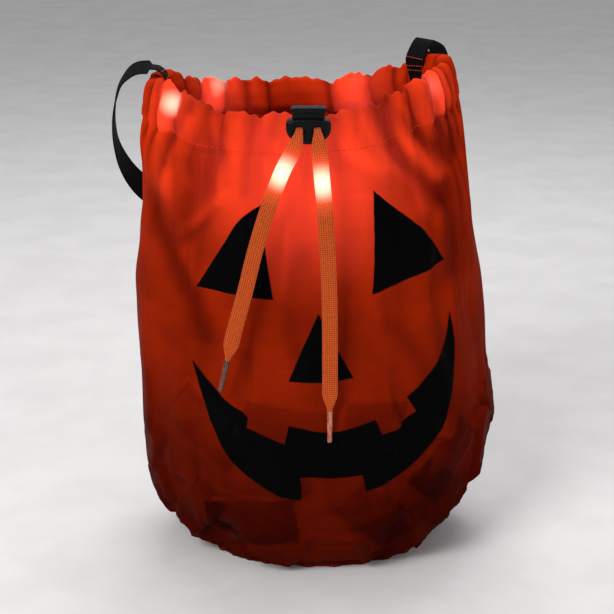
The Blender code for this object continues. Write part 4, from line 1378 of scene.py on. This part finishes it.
def hem_lace_route():
    """Out of the lock's left hole, round the mouth behind it and back to the right hole."""
    left_x = LOCK.x - CORD_HOLE_OFFSET
    right_x = LOCK.x + CORD_HOLE_OFFSET
    back = LOCK.y + LOCK_DEPTH / 2
    left_exit = [
        (left_x, LOCK.y, LACE_IN_LOCK),
        (left_x, back, LACE_IN_LOCK),
        (left_x, back + 4 * MM, LACE_IN_LOCK),
        (left_x - 1.6 * MM, back + 7.9 * MM, LACE_IN_LOCK - 0.8 * MM),
        (left_x - 8 * MM, back + 9.9 * MM, LACE_IN_LOCK - 3.5 * MM),
    ]
    right_exit = [(right_x + left_x - x, y, z) for x, y, z in left_exit]
    around = [tunnel_point(math.radians(256 - 330 * i / 30)) for i in range(31)]
    return [Vector(p) for p in left_exit] + around + [Vector(p) for p in right_exit[::-1]]


def add_hem_lace(lace):
    """The drawstring inside the hem, with its two short runs into the lock."""
    path = smooth_path(hem_lace_route(), 300)

    def across(i):
        point = path[i]
        width, depth, sag = half_sizes(point.z)
        angle = math.atan2(point.y / depth, (point.x - sag) / width)
        step = 4 * MM
        return tunnel_point(angle, LACE_DROP - step) - tunnel_point(angle, LACE_DROP + step)

    def size(done, whole):
        near = 1 - soft_step(min(done, whole - done), 6 * MM, 28 * MM)
        width = LACE_WIDTH + (3.0 * MM - LACE_WIDTH) * near
        return width, 3.4 * MM + (LACE_HOLE_WIDTH - 3.4 * MM) * near

    mesh = lace_mesh("hem_lace", path, across, size)
    item = finish_mesh("lace_in_hem", mesh, lace)
    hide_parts("drawstring_lace")
    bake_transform(item)


# ---- the cloth pieces

def drape_wall():
    """The wall of the sack, gathered into its hem: an array of points, rows by columns."""
    chance = random.Random(7)
    boxes = treat_boxes(chance)
    touch = box_tree(boxes)
    tones = [chance.uniform(0.15, 1.0) for _ in boxes]
    wall = wall_start(chance)
    wall = drape(wall, wall_rest(wall), fill_mesh(touch))
    wall = ease(wall, 1)
    wall = press_out(add_swags(wall))
    wall[..., 1] = np.maximum(wall[..., 1], FRONT_LIMIT)
    wall[..., 2] = np.maximum(wall[..., 2], FLOOR_LIMIT)
    wall = refine(wall)
    folds = fold_depths(wall, HOLLOW_FOLDS) - fold_depths(wall, RIDGE_FOLDS)
    wall = press_folds(wall, FOLD_PRESS * folds)
    wall[..., 1] = np.maximum(wall[..., 1], FRONT_LIMIT)
    wall[:-1] = clear_case(wall)[:-1]
    whole = add_hem(wall)
    hollow = fold_depths(whole, HOLLOW_FOLDS) / HOLLOW_DEPTH
    ridge = fold_depths(whole, RIDGE_FOLDS) / RIDGE_DEPTH
    shade = np.zeros(whole.shape[:2], np.float32)
    lit = np.zeros(whole.shape[:2], np.float32)
    for c in range(whole.shape[1]):
        angle = FULL * c / whole.shape[1]
        foot = rim_height(angle) - HEM
        shine = hem_glow(angle)
        for r in range(whole.shape[0]):
            point = Vector(whole[r, c])
            drop = foot - point.z
            above = r >= wall.shape[0]
            shade[r, c] = CREASE_SHADE * crease(angle, 0 if above else drop)
            shade[r, c] += min(0.75, 0.6 * hollow[r, c]) - min(0.3, 0.3 * ridge[r, c])
            lit[r, c] = shine if above else 0.22 * shine * math.exp(-max(drop, 0) / (30 * MM))
            lit[r, c] += 0.16 * ridge[r, c] * soft_step(point.z, 230 * MM, 320 * MM)
    return whole, shade + treat_shade(whole, boxes, tones) + lock_shade(whole), lit


def cloth_uv(points):
    """Place on the flat cloth, in metres."""
    rows, columns = points.shape[:2]
    steps = np.linalg.norm(np.diff(points, axis=0), axis=2).mean(axis=1)
    up = np.concatenate([[0], np.cumsum(steps)])
    around = np.arange(columns + 1) * CLOTH_ROUND / columns
    return np.stack(np.meshgrid(around, up), axis=2)


def close_round(grid):
    """Repeats the first column after the last."""
    return np.concatenate([grid, grid[:, :1]], axis=1)


def add_panel(name, node, points, uv, looks, part, cloth, keep=None):
    """The columns of the sack that belong to one panel."""
    mesh = grid_mesh(name, points[:, part], uv[:, part], keep)
    for key, values in looks.items():
        layer = mesh.attributes.new(key, "FLOAT", "POINT")
        layer.data.foreach_set("value", values[:, part].ravel())
    panel = finish_mesh(name, mesh, cloth)
    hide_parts(node)
    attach(panel, "bag")
    return panel


def add_plain_looks(mesh):
    """Cloth that nothing darkens or lights."""
    for key in ("shade", "lit"):
        mesh.attributes.new(key, "FLOAT", "POINT")


def add_wall(cloth, thread):
    points, shade, lit = drape_wall()
    half = points.shape[1] // 2
    uv = cloth_uv(points)
    for column, depth in ((0, 1.0), (1, 0.35), (-1, 0.35)):
        for c in (column, half + column):
            points[:, c, 0] -= np.sign(points[:, c, 0]) * depth * MM
    closed = close_round(points)
    looks = {"shade": close_round(shade), "lit": close_round(lit)}
    at_back, at_front = slice(0, half + 1), slice(half, None)
    back = add_panel("back_cloth", "back_panel", closed, uv, looks, at_back, cloth)
    front_points = closed[:, at_front]
    foot_row = 2 * (CORNER_ROWS + WALL_ROWS)

    def keep(r, c):
        if not foot_row <= r < foot_row + OUTER_ROWS:
            return True
        x, _, z = front_points[r:r + 2, c:c + 2].mean(axis=(0, 1))
        beside = abs(x - LOCK.x) > BUTTONHOLE_HALF_WIDTH
        return beside or abs(z - LACE_IN_LOCK) > BUTTONHOLE_HALF_HEIGHT

    front = add_panel("front_cloth", "front_panel", closed, uv, looks, at_front, cloth, keep)
    add_hem_stitches(closed[foot_row + 1], thread)
    return closed, front_points


def thread_mesh(name, stitches, radius):
    """Short round stitches: each is (start, end, outward)."""
    verts, faces = [], []
    sides = 6
    profile = ((0, 0.35), (0.18, 0.9), (0.5, 1.0), (0.82, 0.9), (1, 0.35))
    for start, end, out in stitches:
        side = (end - start).normalized().cross(out).normalized()
        base = len(verts)
        for share, size in profile:
            lift = out * radius * (0.2 + 0.6 * math.sin(math.pi * share))
            centre = start.lerp(end, share) + lift
            for k in range(sides):
                a = FULL * k / sides
                spot = centre + (side * math.cos(a) + out * math.sin(a)) * radius * size
                verts.append(tuple(spot))
        faces += round_faces(len(profile), sides, base)
        faces.append(tuple(range(base, base + sides))[::-1])
        faces.append(tuple(range(len(verts) - sides, len(verts))))
    mesh = bpy.data.meshes.new(name)
    mesh.from_pydata(verts, [], faces)
    with_uv(mesh, [(0.0, 0.0)] * len(verts))
    return mesh


def seam_stitches(row, length, lap, out_lift, up_lift):
    """One stitch over every second step of a closed seam."""
    stitches = []
    path = [Vector(p) for p in row]
    for i in range(0, len(path) - 2, 2):
        a, b = path[i], path[i].lerp(path[i + 1], length)
        out = Vector(((b - a).y, -(b - a).x, 0)).normalized()
        b = b.lerp(path[i + 2], lap)
        lift = out * out_lift + UP * up_lift
        stitches.append((a + lift, b + lift, out))
    return stitches


def add_stitching(name, stitches, radius, thread):
    item = finish_mesh(name, thread_mesh(name, stitches, radius), thread)
    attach(item, "bag")


def add_hem_stitches(row, thread):
    """The line of stitches that closes the drawstring tunnel, just above its lower seam."""
    stitches = seam_stitches(row, 0.95, 0.25, 0.15 * MM, 0)
    add_stitching("hem_stitching", stitches, 0.32 * MM, thread)


def add_print(front_points):
    item = finish_mesh("printed_face", print_mesh(front_points), print_material())
    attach(item, "bag")


def add_base(closed, cloth, thread):
    """The oval base panel, puckered along its seam."""
    edge = closed[0, :-1]
    centre = edge.mean(axis=0)
    rings = []
    for share in (1.0, 0.985, 0.96, 0.92, 0.85, 0.75, 0.6, 0.45, 0.3, 0.15, 0.02):
        ring = centre + (edge - centre) * share
        ring[:, 2] = 0.5 * MM + 0.5 * MM * math.exp(-(1 - share) * 30)
        rings.append(ring)
    points = close_round(np.array(rings))
    mesh = grid_mesh("base", points, points[..., :2].copy())
    add_plain_looks(mesh)
    base = finish_mesh("base_cloth", mesh, cloth)
    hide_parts("bottom_panel")
    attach(base, "bag")
    stitches = seam_stitches(closed[0], 0.9, 0, 0.2 * MM, 1.6 * MM)
    add_stitching("base_stitching", stitches, 0.3 * MM, thread)


# ---- cord lock

def block_mesh(name, outline_points, depth, rounding, steps=5):
    """A block with an outline in front view and rounded front and back edges."""
    rings, run = [], []
    centre = sum(outline_points, Vector((0, 0))) / len(outline_points)
    stations = []
    for k in range(steps + 1):
        a = math.pi / 2 * k / steps
        stations.append((-depth / 2 + rounding * (1 - math.sin(a)), rounding * (1 - math.cos(a))))
    stations.sort()
    mirror = [(-y, inset) for y, inset in stations[::-1]]
    for y, inset in stations + mirror:
        ring = []
        for p in outline_points:
            away = p - centre
            q = p - away.normalized() * inset
            ring.append(Vector((q.x, y, q.y)))
        rings.append(ring)
        run.append(y + depth / 2)
    return tube_mesh(name, rings, run)


def apply_changes(item):
    """Bakes an object's modifiers into its mesh."""
    shown = item.evaluated_get(bpy.context.evaluated_depsgraph_get())
    mesh = bpy.data.meshes.new_from_object(shown)
    item.modifiers.clear()
    item.data = mesh
    return item


def carve(item, cutters, operation="DIFFERENCE"):
    """Takes closed meshes away from an object, or joins them to it."""
    helpers = []
    for mesh in cutters:
        helper = link(bpy.data.objects.new("helper", mesh))
        change = item.modifiers.new("carve", "BOOLEAN")
        change.operation = operation
        change.object = helper
        helpers.append(helper)
    apply_changes(item)
    for helper in helpers:
        bpy.data.objects.remove(helper)
    return item


def made_mesh(name, make, **settings):
    """A mesh from one of bmesh's ready shapes."""
    bm = bmesh.new()
    make(bm, **settings)
    mesh = bpy.data.meshes.new(name)
    bm.to_mesh(mesh)
    bm.free()
    return mesh


def rod_mesh(radius, length, centre, sides=48):
    """A round rod from front to back."""
    place = Matrix.Translation(centre) @ Matrix.Rotation(math.pi / 2, 4, "X")
    return made_mesh(
        "rod", bmesh.ops.create_cone, cap_ends=True, segments=sides,
        radius1=radius, radius2=radius, depth=length, matrix=place,
    )


def box_mesh(size, centre):
    place = Matrix.Translation(centre) @ Matrix.Diagonal((*size, 1))
    return made_mesh("box", bmesh.ops.create_cube, size=1, matrix=place)


def cord_holes():
    places = [Vector((x, 0, 0)) for x in (-CORD_HOLE_OFFSET, CORD_HOLE_OFFSET)]
    return [rod_mesh(CORD_HOLE_RADIUS, 3 * LOCK_DEPTH, place) for place in places]


def add_lock(plastic):
    """A pot-bellied barrel with two holes and a plunger that stands out of its top."""
    ring = []
    belly = 2.4 * MM
    for k in range(64):
        a = FULL * k / 64
        power, rise = (0.6, -belly) if math.sin(a) > 0 else (0.94, belly)
        x = rounded(math.cos(a), power) * LOCK_WIDTH / 2
        z = rounded(math.sin(a), power) * (LOCK_HEIGHT / 2 + rise)
        ring.append(Vector((x, belly + z)))
    mesh = block_mesh("barrel", ring, LOCK_DEPTH, 2.4 * MM)
    barrel = finish_mesh("lock_barrel", mesh, plastic)
    slot = box_mesh((22.6 * MM, 8.6 * MM, 25.4 * MM), (0, 0, 5.3 * MM))
    grooves = []
    for side in (-1, 1):
        for k in range(3):
            place = Vector((side * (LOCK_WIDTH / 2 - 0.2 * MM), 0, (k - 1) * RIB_PITCH))
            grooves.append(rod_mesh(0.55 * MM, 2 * LOCK_DEPTH, place, 12))
    carve(barrel, [slot, *cord_holes(), *grooves])
    barrel.data.transform(Matrix.Translation(LOCK))
    finish_parts(barrel, "cord_lock_barrel", "lock", plastic)

    low, high = -4.95 * MM, 9.6 * MM
    stem = box_mesh((22 * MM, 8 * MM, high - low), (0, 0, (high + low) / 2))
    plunger = finish_mesh("lock_plunger", stem, plastic)
    cap = []
    for k in range(64):
        a = FULL * k / 64
        cap.append(Vector((rounded(math.cos(a), 0.25) * 12.25, rounded(math.sin(a), 0.55) * 2.0)) * MM)
    cap_mesh = block_mesh("cap", cap, 11 * MM, 1.4 * MM)
    cap_mesh.transform(Matrix.Translation((0, 0, high + 1.6 * MM)))
    carve(plunger, [cap_mesh], "UNION")
    ribs = []
    for k in range(-3, 4):
        place = Vector((k * RIB_PITCH, 0, high + 3.6 * MM))
        ribs.append(rod_mesh(0.45 * MM, 3 * LOCK_DEPTH, place, 12))
    carve(plunger, [*cord_holes(), *ribs])
    plunger.data.transform(Matrix.Translation(LOCK + Vector((0, 0, PLUNGER_TRAVEL))))
    finish_parts(plunger, "cord_lock_plunger", "plunger", plastic)


def finish_parts(item, node, body, material):
    """Shading, finish and body of a carved piece that stands for a CAD node."""
    smooth_shade(item.data, material, 35)
    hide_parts(node)
    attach(item, body)


# ---- handle

def strap_end_points(side, pivot):
    """Up the inside of the hem and over towards the pivot."""
    angle = STRAP_END_ANGLES[side]
    rim = rim_height(angle)
    inset = HEM_THICKNESS + WEBBING_THICKNESS / 2 + 1.8 * MM
    points = [outline(angle, rim - drop * MM, inset) for drop in (24, 16, 8, 0)]
    last = pivot - sideways(angle, rim) * 2.2 * MM
    top = points[-1].lerp(last, 0.5) + UP * 2 * MM
    return [*points, top, last]


def strap_ring(point, along, face):
    """Webbing in section: flat, with soft slightly thicker edges."""
    face = (face - along * face.dot(along)).normalized()
    across = along.cross(face)
    ring = []
    half_w, half_t = WEBBING_WIDTH / 2, WEBBING_THICKNESS / 2
    stations = [-1, -0.97, -0.9, -0.8, -0.5, 0, 0.5, 0.8, 0.9, 0.97, 1]
    thick = [0.35, 0.85, 1.0, 0.8, 0.85, 0.85, 0.85, 0.8, 1.0, 0.85, 0.35]
    for s, t in zip(stations, thick):
        ring.append(point + across * half_w * s + face * half_t * t)
    for s, t in zip(stations[::-1], thick[::-1]):
        ring.append(point + across * half_w * s - face * half_t * t)
    return ring


def nearest_place(path, spot):
    return min(range(len(path)), key=lambda i: (path[i] - spot).length)


def strap_face(point, along, first, second):
    """The way the webbing's face looks: level where it hangs, up over the top of each bend."""
    bend = first if point.x < 0 else second
    if bend is first:
        bend = bend + UP * 0.34 * soft_step(point.z, 352 * MM, 364 * MM)
    lift = soft_step(point.z, 345 * MM, 366 * MM)
    behind = max(point.y - 30 * MM, 0)
    level = Vector((point.x / 130, behind / 75, 0)).normalized()
    return level * (1 - lift) + bend.cross(along) * lift


def add_strap(webbing, red_thread):
    """The carry handle: its loop swings, and both ends bend from where they are sewn."""
    route = in_mm(STRAP_ROUTE)
    whole = [
        *strap_end_points("left", route[0]),
        *route,
        *strap_end_points("right", route[-1])[::-1],
    ]
    path = smooth_path(whole, 330)
    run = path_run(path)
    first = sideways(STRAP_END_ANGLES["left"], 366 * MM).cross(UP)
    second = UP.cross(sideways(STRAP_END_ANGLES["right"], 366 * MM))
    sewn_left, sewn_right = (nearest_place(path, pivot) for pivot in (route[0], route[-1]))
    rings = []
    for i, point in enumerate(path):
        along = direction(path, i)
        if i < sewn_left:
            face = first.cross(along)
        elif i > sewn_right:
            face = second.cross(along)
        else:
            face = strap_face(point, along, first, second)
        rings.append(strap_ring(point, along, face))
    left, right = nearest_place(path, route[2]), nearest_place(path, route[-3])
    parts = {
        "left": (0, left, "strap_end_left"),
        "loop": (left, right, "handle_strap"),
        "right": (right, len(path) - 1, "strap_end_right"),
    }
    made = {}
    for name, (start, end, node) in parts.items():
        mesh = tube_mesh("strap_" + name, rings[start:end + 1], run[start:end + 1])
        made[name] = finish_mesh("webbing_" + name, mesh, webbing, 60)
        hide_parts(node)
    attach(made["loop"], "handle")
    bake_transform(made["left"])
    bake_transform(made["right"])
    add_tab_stitches(path, rings, run, red_thread)


def add_tab_stitches(path, rings, run, thread):
    """The rows of stitches that hold the webbing's ends inside the hem."""
    stitches = []
    whole = run[-1]
    for from_end in STITCH_ROWS:
        for place in (from_end * MM, whole - from_end * MM):
            i = next(k for k in range(len(run)) if run[k] >= place)
            along = direction(path, i)
            left_edge, right_edge = rings[i][1], rings[i][9]
            out = (rings[i][5] - path[i]).normalized()
            inward = Vector((-math.copysign(1, path[i].x), 0, 0))
            if out.dot(inward) < 0:
                left_edge, right_edge = rings[i][20], rings[i][12]
                out = -out
            lift = out * 0.1 * MM
            for k in range(STITCHES_ACROSS):
                a = left_edge.lerp(right_edge, (k + 0.15) / STITCHES_ACROSS)
                b = left_edge.lerp(right_edge, (k + 0.85) / STITCHES_ACROSS)
                stitches.append((a + lift, b + lift, out))
    add_stitching("strap_stitching", stitches, 0.35 * MM, thread)


# ---- battery pocket and small parts

def battery_axes():
    """Place and turn of the battery case on the inside of the back panel."""
    low = outline(math.pi / 2, 245 * MM, 1 * MM)
    high = outline(math.pi / 2, 285 * MM, 1 * MM)
    lean = math.atan2(low.y - high.y, high.z - low.z)
    return Matrix.Translation((low + high) / 2) @ Matrix.Rotation(lean, 4, "X")


def add_pocket(cloth):
    """A cloth pocket on the back panel, its mouth hemmed and a little slack."""
    place = battery_axes()
    half, low, high = 19 * MM, -23 * MM, 13 * MM
    front, back, corner = -15.8 * MM, -2.6 * MM, 4.5 * MM
    profile = [Vector((-half, back, 0)), Vector((-half, (front + back) / 2, 0))]
    for cx, turn in ((-1, math.pi), (1, 1.5 * math.pi)):
        for k in range(9):
            a = turn + math.pi / 2 * k / 8
            x = cx * (half - corner) + corner * math.cos(a)
            profile.append(Vector((x, front + corner + corner * math.sin(a), 0)))
    profile += [Vector((half, (front + back) / 2, 0)), Vector((half, back, 0))]
    profile = smooth_path(profile, 72)
    rows = []
    steps = 26
    for k in range(steps + 1):
        share = k / steps
        z = low + (high - low) * share
        row = []
        for i, p in enumerate(profile):
            slack = 0.35 * MM * math.sin(i * 0.55 + 3 * share) * math.sin(math.pi * share)
            row.append(place @ Vector((p.x * (1 + slack * 20), p.y - slack, z)))
        rows.append(row)
    for inset in (0.5, 0.9):
        rows.append([place @ Vector((p.x * 0.985, p.y + inset * MM, high + 0.2 * MM)) for p in profile])
    floor_row = [place @ Vector((p.x, back - (back - p.y) * 0.02, low)) for p in profile]
    rows.insert(0, floor_row)
    points = np.array([[tuple(p) for p in row] for row in rows])
    around = np.array(path_run(profile))
    up = np.arange(len(rows)) * (high - low) / steps
    mesh = grid_mesh("pocket", points, np.stack(np.meshgrid(around, up), axis=2))
    add_plain_looks(mesh)
    pocket = finish_mesh("pocket_cloth", mesh, cloth)
    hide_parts("battery_pocket")
    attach(pocket, "bag")


def finish_cad_parts():
    """Procedural finishes for the small hard parts that stay as they are in the frame."""
    lights = ["front_left", "back_left", "back_right", "front_right", "tail_left", "tail_right"]
    finishes = {
        moulded_plastic("case_shell", (0.70, 0.70, 0.68), 0.42): ["battery_case", "battery_tray"],
        moulded_plastic("button_cap", (0.012, 0.012, 0.013), 0.4): ["push_button", "tact_switch"],
        led_material(): ["led_" + place for place in lights],
        wire_material("red_insulation", (0.42, 0.03, 0.025)): ["led_wire_left", "led_wire_right"],
        wire_material("black_insulation", (0.02, 0.02, 0.02)): ["battery_lead"],
        steel_material("spring_wire", (0.62, 0.62, 0.60), 0.28): ["cord_lock_spring", "tray_screw"],
        steel_material("cell_shell", (0.66, 0.66, 0.65), 0.24): [
            "coin_cell_back", "coin_cell_front", "contact_plus", "contact_minus",
        ],
        board_material(): ["circuit_board"],
    }
    for finish, names in finishes.items():
        for name in names:
            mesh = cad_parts[name].data
            mesh.materials.clear()
            mesh.materials.append(finish)


# ---- the whole

def main():
    add_camera()
    add_studio()
    lace = lace_material()
    # The left tip's film and lace colours are a darker copy of the right tip's: painted shade, as the
    # left tip hangs in shade.
    shaded_tip_film = tip_material("shaded_tip_film", (0.050, 0.009, 0.003), (0.16, 0.030, 0.010))
    clear_film = tip_material("clear_film", (0.26, 0.045, 0.015), (0.60, 0.20, 0.11))
    add_tail("left", LEFT_TAIL, lace, shaded_tip_film)
    add_tail("right", RIGHT_TAIL, lace, clear_film)
    add_hem_lace(lace)
    cloth = cloth_material("thin_polyester")
    thread = thread_material("orange_thread", (0.70, 0.042, 0.005))
    closed, front_points = add_wall(cloth, thread)
    add_print(front_points)
    add_base(closed, cloth, thread)
    add_pocket(cloth)
    add_lock(moulded_plastic("black_acetal", (0.0018, 0.0018, 0.0021), 0.34))
    add_strap(webbing_material(), thread_material("red_thread", (0.55, 0.05, 0.02)))
    finish_cad_parts()


main()
